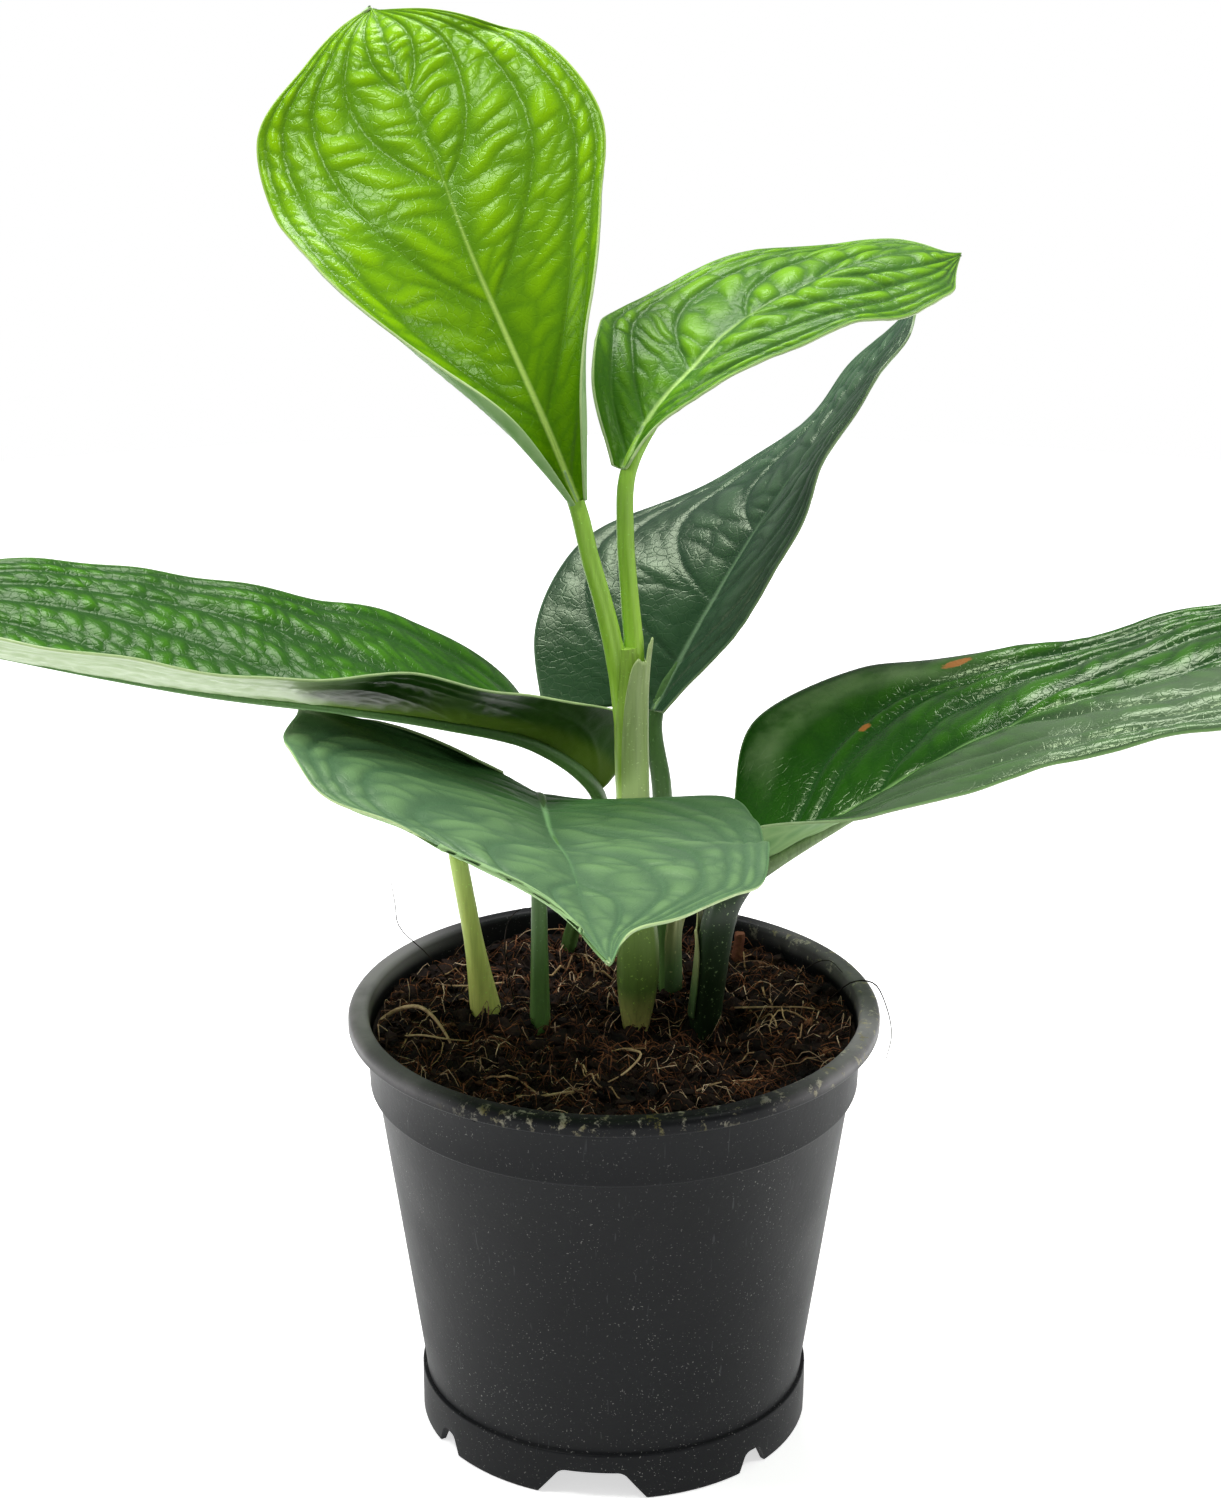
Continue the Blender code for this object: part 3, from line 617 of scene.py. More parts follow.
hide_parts("wood_stub")

# ---------------------------------------------------------------------------
# Leaf blades
# Thick waxy blades, quilted between sunken side veins that leave the midrib and run
# on towards the tip, with a pale cartilage-like margin and a paler matt underside.
# ---------------------------------------------------------------------------
BLADE_ROWS = 230
HALF_COLUMNS = 54
BLADE_THICKNESS = 0.0006


def sampled(values, ts):
    if isinstance(values[0], (int, float)):
        return np.array([curve_value(values, t) for t in ts])
    vectors = [Vector(v) for v in values]
    return np.array([curve_value(vectors, t) for t in ts])


def unit(rows):
    return rows / np.linalg.norm(rows, axis=-1, keepdims=True)


def midrib_frame(leaf, ts):
    middle = sampled(leaf["midrib"], ts)
    along = unit(sampled(leaf["midrib"], ts + 0.001) - sampled(leaf["midrib"], ts - 0.001))
    face = sampled(leaf["face"], ts)
    face = unit(face - along * np.sum(face * along, axis=1, keepdims=True))
    return middle, along, face, np.cross(along, face)


def pillows(x, y, seed):
    """Irregular cells of about one unit: 0 in the creases, 1 on the tops, and each cell's own value."""
    near, second, own = np.full(x.shape, 9.0), np.full(x.shape, 9.0), np.zeros(x.shape)
    for i in (-1, 0, 1):
        for j in (-1, 0, 1):
            column, row = np.floor(x) + i, np.floor(y) + j
            first = np.modf(np.abs(np.sin(column * 127.1 + row * 311.7 + seed) * 43758.5))[0]
            other = np.modf(np.abs(np.sin(column * 269.5 + row * 183.3 + seed) * 43758.5))[0]
            away = np.hypot(x - column - 0.22 - 0.56 * first, y - row - 0.15 - 0.7 * other)
            second = np.minimum(second, np.maximum(near, away))
            own = np.where(away < near, first, own)
            near = np.minimum(near, away)
    return np.clip((second - near) / 0.75, 0, 1) ** 0.75, own


def quilting(leaf, side, ts, shares, half_widths, length):
    """Relief of one half in millimetres, and how near each point lies to a vein."""
    t, a = np.meshgrid(ts, shares, indexing="ij")
    width = half_widths[:, None] * np.ones_like(a)
    starts = leaf["veins"]
    reach = [0.96 * (1.0 - start) ** 0.9 for start in starts]
    lines = [np.where(t > start, top * (1 - np.exp(-(t - start) / leaf.get("vein_bend", 0.11))), 0.0)
             for start, top in zip(starts, reach)]
    bounds = np.stack([np.ones_like(a)] + lines + [np.zeros_like(a)])
    order = np.sum(bounds[1:-1] > a[None], axis=0)
    upper = np.take_along_axis(bounds, order[None], axis=0)[0]
    lower = np.take_along_axis(bounds, (order + 1)[None], axis=0)[0]
    band = np.maximum(upper - lower, 1e-4)
    q = np.clip((a - lower) / band, 0, 1)
    band_mm = band * width
    s = t * length
    seed = leaf["seed"] + (40 if side == "left" else 0)
    wobble = np.zeros_like(a)
    for i in range(t.shape[0]):
        for j in range(t.shape[1]):
            wobble[i, j] = noise.noise(Vector((s[i, j] * 0.09 + seed, a[i, j] * 3.2, seed * 0.37)))
    phase = (s - leaf.get("slant", 4.0) * q) / leaf["rib_gap"] + order * 0.37 + wobble * 0.8
    ridge, own = pillows(phase, q * band_mm / leaf.get("rib_length", 9.0) + order * 7.3, seed)
    arch = np.sin(math.pi * q) ** 0.65
    strength = sampled(leaf["quilt"], ts)[:, None] * np.clip(band_mm / 7.0, 0.15, 1.0)
    ribbing = leaf.get("ribbing", 1.0)
    relief = strength * arch * (1.0 - 0.60 * ribbing + ribbing * (0.45 + 0.35 * own) * ridge)
    relief += strength * 0.35 * wobble
    gap = np.where(order == 0, q * band_mm, np.minimum(q, 1 - q) * band_mm)
    vein = np.exp(-((gap / 0.55) ** 2))
    rib = np.exp(-((a * width / (1.05 - 0.55 * t)) ** 2))
    relief -= leaf.get("vein_cut", 0.28) * vein * (1 - rib)
    relief += 0.30 * rib * (1 - 0.6 * t)
    puff = arch * (0.30 + (0.50 + 0.30 * own) * ridge) + 0.25 * wobble
    return relief, vein, rib, np.clip(puff, 0, 1)


def blade_surface(leaf, ts):
    """Positions and surface attributes for both halves, from the left margin to the right."""
    middle, along, face, across = midrib_frame(leaf, ts)
    steps = np.linalg.norm(np.diff(middle, axis=0), axis=1)
    length = steps.sum()
    shares = np.linspace(0, 1, HALF_COLUMNS + 1)
    halves = {}
    for side, sign in (("left", -1.0), ("right", 1.0)):
        width = np.maximum(sampled(leaf[side], ts), 0.0)
        lift = np.radians(sampled(leaf[side + "_lift"], ts))
        curl = np.radians(sampled(leaf.get(side + "_curl", [0, 0]), ts))
        sweep = sampled(leaf[side + "_sweep"], ts)
        angle = lift[:, None] + curl[:, None] * shares[None] ** 3
        step = width[:, None] / HALF_COLUMNS
        out = np.concatenate([np.zeros((len(ts), 1)), np.cumsum(np.cos(angle[:, 1:]) * step, axis=1)], axis=1)
        up = np.concatenate([np.zeros((len(ts), 1)), np.cumsum(np.sin(angle[:, 1:]) * step, axis=1)], axis=1)
        spot = (middle[:, None] + sign * across[:, None] * out[..., None] + face[:, None] * up[..., None]
                + along[:, None] * (sweep[:, None] * shares[None] ** 1.6)[..., None])
        relief, vein, rib, puff = quilting(leaf, side, ts, shares, width, length)
        wave = sampled(leaf.get("wave", [0, 0]), ts)[:, None] * shares[None] ** 3
        wave = wave * np.sin(ts[:, None] * length * leaf.get("wave_rate", 0.22) + sign)
        lean = sign * -across[:, None] * np.sin(angle)[..., None] + face[:, None] * np.cos(angle)[..., None]
        spot = spot + lean * (relief + wave)[..., None]
        edge = (1 - shares)[None] * width[:, None]
        halves[side] = (spot, vein, rib, puff, edge)
    joined = []
    for left, right in zip(halves["left"], halves["right"]):
        joined.append(np.concatenate([left[:, ::-1], right[:, 1:]], axis=1))
    return joined, length


def build_blade(name, leaf, looks, cad_node):
    """One grid bent into the leaf, its marks kept on the vertices, then given its thickness."""
    ts = np.linspace(0, 1, BLADE_ROWS + 1)
    (spots, veins, ribs, puffs, edges), length = blade_surface(leaf, ts)
    bm = bmesh.new()
    bmesh.ops.create_grid(bm, x_segments=BLADE_ROWS, y_segments=2 * HALF_COLUMNS, size=1.0)
    marks = ("vein", "rib", "puff", "edge", "along", "scar", "across")
    layers = {key: bm.verts.layers.float.new(key) for key in marks}
    scars = leaf.get("scars", [])
    for vert in bm.verts:
        i = round((vert.co.x + 1) / 2 * BLADE_ROWS)
        j = round((vert.co.y + 1) * HALF_COLUMNS)
        u = vert.co.y
        vert[layers["vein"]] = float(veins[i, j])
        vert[layers["rib"]] = float(ribs[i, j])
        vert[layers["puff"]] = float(puffs[i, j])
        vert[layers["edge"]] = float(edges[i, j])
        vert[layers["along"]] = float(ts[i])
        vert[layers["across"]] = float(u)
        mark = 0.0
        for place_t, place_u, long, wide, tilt in scars:
            x = (ts[i] - place_t) * length
            y = (u - place_u) * 36.0
            x, y = x * math.cos(tilt) + y * math.sin(tilt), y * math.cos(tilt) - x * math.sin(tilt)
            mark = max(mark, 1.0 - math.sqrt((x / long) ** 2 + (y / wide) ** 2))
        vert[layers["scar"]] = max(mark, 0.0)
        vert.co = Vector(spots[i, j]) * MM
    bmesh.ops.remove_doubles(bm, verts=bm.verts, dist=0.00002)
    bmesh.ops.reverse_faces(bm, faces=bm.faces)
    mesh = bpy.data.meshes.new(name)
    bm.to_mesh(mesh)
    bm.free()
    mesh.shade_smooth()
    blade = new_object(name, mesh)
    for look in looks:
        mesh.materials.append(look)
    shell = blade.modifiers.new("thickness", "SOLIDIFY")
    shell.thickness = BLADE_THICKNESS
    shell.offset = -1.0
    shell.material_offset = 1
    shell.material_offset_rim = 2
    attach(blade, "root")
    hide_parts(cad_node)


def attribute(tree, name):
    made = node(tree, "Attribute")
    made.attribute_name = name
    return made.outputs["Fac"]


def blade_look(name, shaded_valley, lit_crown, base, rib_tone, vein_tone, gloss=0.30, shine=0.20, blotch=0.25,
               side_sheen=None, edge_sheen=0.0):
    """Upper face: painted shade in the sunken veins and creases, painted light on the puffed cells, deep and
    smooth at the base.

    bloom paints sheen: a grey tone laid in across the blade. wax paints a reflection: a pale band near the
    far basal edge.
    """
    look, tree, shader = material(name, gloss)
    place = node(tree, "TexCoord").outputs["Object"]
    puff, vein = attribute(tree, "puff"), attribute(tree, "vein")
    rib, along, edge = attribute(tree, "rib"), attribute(tree, "along"), attribute(tree, "edge")
    patch = noise_node(tree, place, 55.0, 4.0)
    # Painted shade and light: the valley tone darkens the low creases and the crown tone lightens the puffed
    # tops. The valley tone is also used for random blotches, and the crown tone for fine flecks.
    tone = blend(tree, spread(tree, puff, 0.15, 0.95), shaded_valley, lit_crown)
    tone = blend(tree, spread(tree, patch, 0.35, 0.7, 0.0, blotch), tone, shaded_valley)
    low = maths(tree, "SUBTRACT", 1.0, spread(tree, along, 0.04, 0.42))
    tone = blend(tree, maths(tree, "MULTIPLY", low, 0.8), tone, base)
    tone = blend(tree, maths(tree, "MULTIPLY", vein, 0.30), tone, vein_tone)
    fleck = spread(tree, noise_node(tree, place, 900.0, 3.0), 0.5, 0.8, 0.0, 0.22)
    tone = blend(tree, fleck, tone, lit_crown)
    # Painted sheen: a grey tone over one half of the blade, in place of the reflection of the bright
    # surroundings.
    if side_sheen:
        side_sheen_mask = spread(tree, attribute(tree, "across"), side_sheen[1], side_sheen[2], 0.0, side_sheen[3])
        side_sheen_mask = maths(tree, "MULTIPLY", side_sheen_mask, spread(tree, patch, 0.2, 0.6, 0.5, 1.0))
        tone = blend(tree, side_sheen_mask, tone, side_sheen[0])
    # Painted reflection: a pale band along the far edge near the base.
    if edge_sheen:
        band = maths(tree, "MULTIPLY", spread(tree, edge, 0.8, 3.0), spread(tree, edge, 7.0, 13.0, 1.0, 0.0))
        band = maths(tree, "MULTIPLY", band, spread(tree, along, 0.02, 0.10))
        band = maths(tree, "MULTIPLY", band, spread(tree, along, 0.26, 0.40, 1.0, 0.0))
        band = maths(tree, "MULTIPLY", band, spread(tree, noise_node(tree, place, 110.0, 3.0), 0.20, 0.70))
        band = maths(tree, "MULTIPLY", band, spread(tree, attribute(tree, "across"), -0.2, 0.0, edge_sheen, 0.0))
        tone = blend(tree, band, tone, (0.22, 0.34, 0.15))
    strong = maths(tree, "MULTIPLY", rib, spread(tree, along, 0.0, 0.95, 0.95, 0.12))
    tone = blend(tree, spread(tree, strong, 0.25, 0.85), tone, rib_tone)
    hem = maths(tree, "SUBTRACT", 1.0, spread(tree, edge, 0.1, 0.55))
    tone = blend(tree, maths(tree, "MULTIPLY", hem, 0.75), tone, rib_tone)
    scar = attribute(tree, "scar")
    fray = maths(tree, "SUBTRACT", noise_node(tree, place, 900.0, 3.0), 0.5)
    frayed = maths(tree, "ADD", scar, maths(tree, "MULTIPLY", fray, 0.5))
    scar_mask = maths(tree, "MULTIPLY", spread(tree, frayed, 0.25, 0.5), spread(tree, scar, 0.0, 0.1))
    tone = blend(tree, scar_mask, tone, (0.36, 0.13, 0.03))
    tree.links.new(tone, shader.inputs["Base Color"])
    rough = maths(tree, "ADD", maths(tree, "MULTIPLY", patch, 0.16), gloss - 0.08)
    rough = maths(tree, "ADD", rough, maths(tree, "MULTIPLY", scar_mask, 0.3))
    tree.links.new(rough, shader.inputs["Roughness"])
    skin = noise_node(tree, place, 1100.0, 4.0, 0.6)
    web = node(tree, "TexVoronoi", feature="DISTANCE_TO_EDGE")
    web.inputs["Scale"].default_value = 520.0
    tree.links.new(place, web.inputs["Vector"])
    net = spread(tree, web.outputs["Distance"], 0.0, 0.12)
    relief = maths(tree, "ADD", maths(tree, "MULTIPLY", skin, 0.5), maths(tree, "MULTIPLY", net, 0.45))
    bump(tree, shader, relief, 0.30, 0.00022)
    shader.inputs["Specular IOR Level"].default_value = shine
    shader.inputs["Specular Tint"].default_value = (0.80, 1.0, 0.60, 1.0)
    return look


def under_look(name, pale, veined, base=None, gloss=0.55):
    """Lower face: paler and matt, with lighter veins, and painted shade near the base when a base pair is
    given.
    """
    look, tree, shader = material(name, gloss)
    place = node(tree, "TexCoord").outputs["Object"]
    puff, vein, rib = attribute(tree, "puff"), attribute(tree, "vein"), attribute(tree, "rib")
    tone = blend(tree, spread(tree, puff, 0.1, 0.9), veined, pale)
    tone = blend(tree, maths(tree, "MULTIPLY", maths(tree, "MAXIMUM", vein, rib), 0.6), tone, veined)
    mottle = noise_node(tree, place, 240.0, 4.0)
    tone = blend(tree, spread(tree, mottle, 0.4, 0.7, 0.0, 0.25), tone, veined)
    # Painted shade near the base: yellow-green by the midrib, near black further out.
    if base:
        out = maths(tree, "ABSOLUTE", attribute(tree, "across"))
        base_shade_tone = blend(tree, spread(tree, out, 0.25, 0.50), base[0], base[1])
        shaded_base = spread(tree, attribute(tree, "along"), 0.39, 0.43, 1.0, 0.0)
        tone = blend(tree, shaded_base, tone, base_shade_tone)
    shader.inputs["Specular IOR Level"].default_value = 0.30
    tree.links.new(tone, shader.inputs["Base Color"])
    bump(tree, shader, noise_node(tree, place, 900.0, 4.0), 0.25, 0.0002)
    return look


def hem_look(name, tone):
    """The blade's cut edge: a thin pale translucent rim."""
    look, tree, shader = material(name, 0.4)
    place = node(tree, "TexCoord").outputs["Object"]
    mottle = noise_node(tree, place, 300.0, 3.0)
    tree.links.new(blend(tree, mottle, tone, tuple(c * 0.7 for c in tone)), shader.inputs["Base Color"])
    return look


# Tall young leaf at the upper left, facing forwards, its top rolling back.
upper_left = dict(
    midrib=[(-8, -4, 223), (-15, -1, 240), (-23, 5, 257), (-31, 13, 274),
            (-38, 24, 290), (-45, 35, 304), (-50.5, 44, 314.5), (-54, 56, 319.6)],
    face=[(0.1, -0.9, 0.4), (0.1, -0.95, 0.3), (0, -0.9, 0.5), (0, -0.6, 0.8)],
    left=[3, 15, 25, 33, 37, 34, 18, 0], right=[3, 14, 23, 31, 37, 32, 23, 0],
    left_lift=[38, 24, 14, 8, 0, -4, -4, 5], right_lift=[32, 20, 10, 5, 6, 3, 2, 15],
    left_curl=[130, 150, 90, 30, 0, 0, 0, 0], right_curl=[130, 130, 70, 20, 0, 0, 0, 0],
    left_sweep=[0, 0, 0, 4, 2, 4, 1, 0], right_sweep=[0, 0, 0, 0, -2, -1, -5, 0],
    veins=[0.02, 0.14, 0.34, 0.54, 0.71], quilt=[0.0, 0.1, 0.35, 0.8, 1.05, 1.1, 1.0, 0.7],
    wave=[0, 0.2, 0.5, 0.5], seed=3.0, rib_gap=4.8, rib_length=13.0,
)
# Bright leaf at the upper right, nearly level, seen along its face.
upper_right = dict(
    midrib=[(2, 0, 229), (8, 7, 239), (17, 15, 247.5), (27, 25, 255),
            (39, 35, 260), (53, 44, 264), (67, 50, 266), (79, 54, 265)],
    face=[(-0.6, -0.4, 0.7), (-0.3, -0.3, 0.9), (-0.2, -0.2, 0.95), (-0.1, -0.1, 1)],
    left=[3, 17, 26, 28, 26, 21, 16, 0], right=[3, 7, 12, 18, 22, 24, 19, 0],
    left_lift=[40, 27, 15, 6, 5, 0, -4, -10], right_lift=[29, 14, 4, -3, -6, -10, -13, -16],
    left_curl=[110, 60, 20, 0, 0, 0, 0, 0], right_curl=[20, 12, 0, 0, 0, 0, 0, 0],
    left_sweep=[0, 2, 0, -6, -3, -3, -1, 0], right_sweep=[2, 0, -2, 0, 0, 0, 2, 0],
    veins=[0.02, 0.12, 0.28, 0.46, 0.64], quilt=[0.1, 0.6, 1.2, 1.6, 1.7, 1.6, 1.4, 0.9],
    wave=[0, 0.6, 0.9, 0.9], seed=11.0, rib_gap=6.2, rib_length=13.0,
)
# Shaded leaf behind, broad at its base and turning edge-on towards its tip.
back = dict(
    midrib=[(9, 22, 166), (18, 32, 180), (27, 42, 193), (36, 51, 205),
            (46, 60, 217), (57, 69, 229), (66, 76, 240), (73, 81, 250)],
    face=[(-0.3, -0.7, 0.6), (-0.35, -0.6, 0.7), (-0.55, -0.35, 0.7),
          (-0.75, -0.05, 0.6), (-0.78, 0.0, 0.6), (-0.78, 0.0, 0.6)],
    left=[21, 35, 40, 34, 25, 20, 13, 0], right=[4, 14, 22, 24, 22, 18, 12, 0],
    left_lift=[24, 12, 8, 5, 5, 5, 5, 5], right_lift=[34, 30, 28, 20, 10, 5, 5, 5],
    left_sweep=[-14, -12, -6, -2, 0, 0, 0, 0], right_sweep=[0, 0],
    veins=[0.01, 0.09, 0.22, 0.38, 0.58], quilt=[0.2, 0.45, 0.6, 0.8, 1.1, 1.4, 1.3, 0.7],
    wave=[0.2, 0.6, 0.8, 0.5], seed=19.0, rib_gap=6.0,
)
# Long leaf to the left, folded along its midrib so that its near half shows its back.
left = dict(
    midrib=[(-3, 22, 147), (-16, 9, 163), (-36, -2, 172), (-57, -11, 178.5), (-79, -18, 183.5),
            (-101, -24, 189), (-123, -29, 195), (-145, -33, 200.5), (-167, -36, 203)],
    face=[(0, 0, 1), (0, 0, 1)],
    left=[18, 17, 25, 33, 38, 39, 36, 24, 0], right=[4, 20, 37, 40, 42, 42, 38, 27, 0],
    left_lift=[65, 46, 33, 31, 24, 23.5, 24, 24, 20],
    right_lift=[5, 20, 22, 20, 20, 19, 19, 17, 12],
    left_sweep=[6, 3, 0, 0, 0, 0, 0, 0, 0], right_sweep=[0, -5, -1, 0, 0, 0, 0, 0, 0],
    veins=[0.01, 0.10, 0.24, 0.42, 0.60], quilt=[0.1, 0.3, 0.5, 0.7, 0.8, 0.8, 0.8, 0.6, 0.3],
    wave=[0, 0.3, 0.4, 0.5], seed=27.0, rib_gap=5.0, rib_length=6.0, vein_cut=0.12,
)
# Long glossy leaf to the right, smooth and ribbed lengthwise near its base.
right = dict(
    midrib=[(35, 0, 139), (54, 2, 149.5), (73, 3, 161), (93, 4, 170.5), (114, 4, 177),
            (135, 4, 183.5), (156, 4, 187), (177, 3, 190), (197, 1, 190)],
    face=[(0, 0, 1), (0, 0, 1)],
    left=[16, 38, 46, 37, 36, 35, 31, 20, 0], right=[16, 22, 30, 34, 36, 37, 32, 20, 0],
    left_lift=[22, 24, 11, 4, 2, 3, 3, 3, 3], right_lift=[52, 19, 7, 3, 2, 0, 0, 0, 0],
    left_curl=[10, 18, 15, 8, 0, 0, 0, 0, 0],
    left_sweep=[-4, -11, -7, 0, 0, 0, -3, -3, 0], right_sweep=[0, 0],
    veins=[0.0, 0.05, 0.16, 0.34, 0.58], vein_bend=0.22,
    quilt=[0.3, 0.9, 1.6, 2.1, 2.2, 2.0, 1.7, 1.0, 0.4], wave=[0, 0.3, 0.5, 0.5],
    seed=35.0, rib_gap=8.0, slant=8.0, ribbing=0.22,
    scars=[(0.33, -0.86, 4.6, 1.5, -0.35), (0.20, -0.52, 2.4, 1.1, -0.3), (0.03, 0.9, 1.2, 1.0, 0.0)],
)
# Leaf that reaches forward over the rim, tilted up on its far side, with a short drip tip.
front = dict(
    midrib=[(-17, 3, 153), (-15, -24, 159), (-13, -50, 164), (-9, -76, 168.5),
            (-6.5, -100, 171), (-4, -121, 173), (-1, -138, 174)],
    face=[(0, 0, 1), (0, 0, 1)],
    left=[14, 39, 44, 44, 41, 35, 20, 7, 0], right=[18, 53, 58, 59, 51, 35, 17, 4, 0],
    left_lift=[-3, 4, 0, -3, 0, -2, -2, 2, 10], right_lift=[34, 26, 24, 23, 19, 19, 20, 22, 23],
    left_sweep=[14, 8, 3, 0, -2, -1, -2, -3, 0], right_sweep=[16, 3, -1, 0, -2, -6, -13, -10, 0],
    veins=[0.01, 0.07, 0.16, 0.28, 0.43, 0.60], quilt=[0.2, 0.6, 0.9, 0.9, 0.7, 0.4, 0.2],
    wave=[0.3, 0.8, 0.6, 0.2], seed=43.0, rib_gap=8.0, rib_length=12.0,
)
# Small new leaf on the pale stalk, behind the front leaf.
young = dict(
    midrib=[(-36, 6, 142), (-38.5, 13, 143), (-42, 21, 142), (-45.5, 29, 139), (-49, 37, 134)],
    face=[(0, 0, 1), (0, 0, 1)],
    left=[2, 11, 12, 8, 0], right=[2, 11, 12, 8, 0],
    left_lift=[20, 10], right_lift=[20, 10], left_sweep=[0, 0], right_sweep=[0, 0],
    veins=[0.02, 0.15, 0.35, 0.6], quilt=[0.1, 0.5, 0.6, 0.3], wave=[0, 0.3], seed=51.0, rib_gap=5.0,
)

lime_top = blade_look("lime_blade", (0.085, 0.215, 0.005), (0.195, 0.410, 0.001), (0.055, 0.175, 0.001),
                      (0.42, 0.62, 0.13), (0.070, 0.170, 0.008), 0.22, 0.16)
fresh_top = blade_look("fresh_blade", (0.045, 0.130, 0.018), (0.165, 0.380, 0.010), (0.045, 0.160, 0.006),
                       (0.36, 0.56, 0.16), (0.070, 0.160, 0.035), 0.30, 0.13)
# The right leaf gets painted sheen: a grey tone across its near half and a pale reflection band near its far
# basal edge.
deep_top = blade_look("deep_blade", (0.010, 0.042, 0.008), (0.034, 0.130, 0.008), (0.010, 0.072, 0.003),
                      (0.20, 0.38, 0.12), (0.030, 0.095, 0.035), 0.20, 0.30, 0.25,
                      ((0.105, 0.160, 0.088), -0.05, 0.30, 0.65), 0.55)
left_top = blade_look("mid_green_blade", (0.018, 0.072, 0.010), (0.055, 0.200, 0.006), (0.020, 0.080, 0.006),
                      (0.26, 0.44, 0.16), (0.030, 0.095, 0.020), 0.22, 0.14, 0.75)
# The back leaf's tones are lightened and greyed as painted sheen.
back_grey_sheen_top = blade_look("grey_sheen_back_blade", (0.024, 0.060, 0.032), (0.070, 0.130, 0.072), (0.018, 0.062, 0.024),
                       (0.14, 0.24, 0.13), (0.060, 0.105, 0.068), 0.30, 0.36)
# The front leaf's valley and crown tones are greyed as painted sheen. Its base tone stays dark and saturated.
front_grey_sheen_top = blade_look("grey_sheen_front_blade", (0.060, 0.130, 0.060), (0.120, 0.230, 0.090),
                       (0.022, 0.090, 0.015), (0.16, 0.33, 0.13), (0.055, 0.140, 0.060), 0.42, 0.30)
pale_under = under_look("pale_underside", (0.200, 0.370, 0.120), (0.290, 0.460, 0.190))
dark_under = under_look("dark_underside", (0.130, 0.270, 0.090), (0.230, 0.380, 0.150))
# The left leaf's folded underside gets painted shade near its base.
folded_under = under_look("folded_underside", (0.250, 0.350, 0.160), (0.300, 0.400, 0.210),
                          ((0.080, 0.150, 0.012), (0.026, 0.085, 0.008)), 0.40)
light_hem = hem_look("light_hem", (0.46, 0.62, 0.27))
dark_hem = hem_look("dark_hem", (0.24, 0.36, 0.15))

light_finish = (pale_under, light_hem)
build_blade("upper_left_blade", upper_left, (lime_top, *light_finish), "upper_left_leaf")
build_blade("upper_right_blade", upper_right, (fresh_top, *light_finish), "upper_right_leaf")
build_blade("young_blade", young, (lime_top, *light_finish), "young_leaf")
build_blade("back_blade", back, (back_grey_sheen_top, dark_under, dark_hem), "back_leaf")
build_blade("left_blade", left, (left_top, folded_under, light_hem), "left_leaf")
build_blade("right_blade", right, (deep_top, dark_under, dark_hem), "right_leaf")
build_blade("front_blade", front, (front_grey_sheen_top, dark_under, light_hem), "front_leaf")

# ---------------------------------------------------------------------------
# Stem, stalks and sheaths
# Fleshy round stalks, channelled on their upper side, that carry on under each blade
# as its raised midrib. The central shoot is ribbed and wrapped in thin old sheaths.
# ---------------------------------------------------------------------------


def build_stalk(name, points, radii, look, cad_node, facing, groove=0.18, ribs=0.0, sides=28, rows=90):
    """A grid rolled into a tube along the points, pinched in along its facing side."""
    ts = np.linspace(0, 1, rows + 1)
    middle = sampled(points, ts)
    radius = sampled(radii, ts)
    along = unit(np.gradient(middle, axis=0))
    front = np.array(facing, float)[None] - along * (along @ np.array(facing, float))[:, None]
    front = unit(front)
    side = np.cross(along, front)
    bm = bmesh.new()
    bmesh.ops.create_grid(bm, x_segments=rows, y_segments=sides, size=1.0)
    tone = bm.verts.layers.float.new("along")
    for vert in bm.verts:
        i = round((vert.co.x + 1) / 2 * rows)
        turn = math.pi * (vert.co.y + 1.0)
        from_front = math.atan2(math.sin(turn), math.cos(turn))
        shape = 1.0 - groove * math.exp(-((from_front / 0.45) ** 2))
        shape += ribs * math.cos(turn * 7) + 0.03 * noise.noise(Vector(middle[i]) * 0.25)
        spoke = front[i] * math.cos(turn) + side[i] * math.sin(turn)
        vert[tone] = float(ts[i])
        vert.co = Vector(middle[i] + spoke * radius[i] * shape) * MM
    bmesh.ops.remove_doubles(bm, verts=bm.verts, dist=0.000004)
    bmesh.ops.holes_fill(bm, edges=[e for e in bm.edges if e.is_boundary], sides=0)
    bmesh.ops.recalc_face_normals(bm, faces=bm.faces)
    stalk = new_object(name, finish_mesh(bm, name, 60), look)
    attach(stalk, "root")
    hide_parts(cad_node)


def stalk_look(name, low, middle_tone, high, gloss=0.42, reach=0.9):
    """Smooth skin that changes along the stalk, with fine streaks and pale flecks."""
    look, tree, shader = material(name, gloss)
    place = node(tree, "TexCoord").outputs["Object"]
    along = attribute(tree, "along")
    tone = ramp(tree, along, [(0.12, low), (0.32, middle_tone), (reach, high)])
    stretch = node(tree, "Mapping")
    stretch.inputs["Scale"].default_value = (1400.0, 1400.0, 90.0)
    tree.links.new(place, stretch.inputs["Vector"])
    streak = noise_node(tree, stretch.outputs[0], 1.0, 3.0)
    tone = blend(tree, spread(tree, streak, 0.4, 0.75, 0.0, 0.35), tone, tuple(c * 0.55 for c in middle_tone))
    fleck = spread(tree, noise_node(tree, place, 1500.0, 1.0), 0.66, 0.76, 0.0, 0.5)
    tone = blend(tree, fleck, tone, tuple(min(1.0, c * 1.6 + 0.05) for c in high))
    tree.links.new(tone, shader.inputs["Base Color"])
    bump(tree, shader, streak, 0.25, 0.0003)
    return look


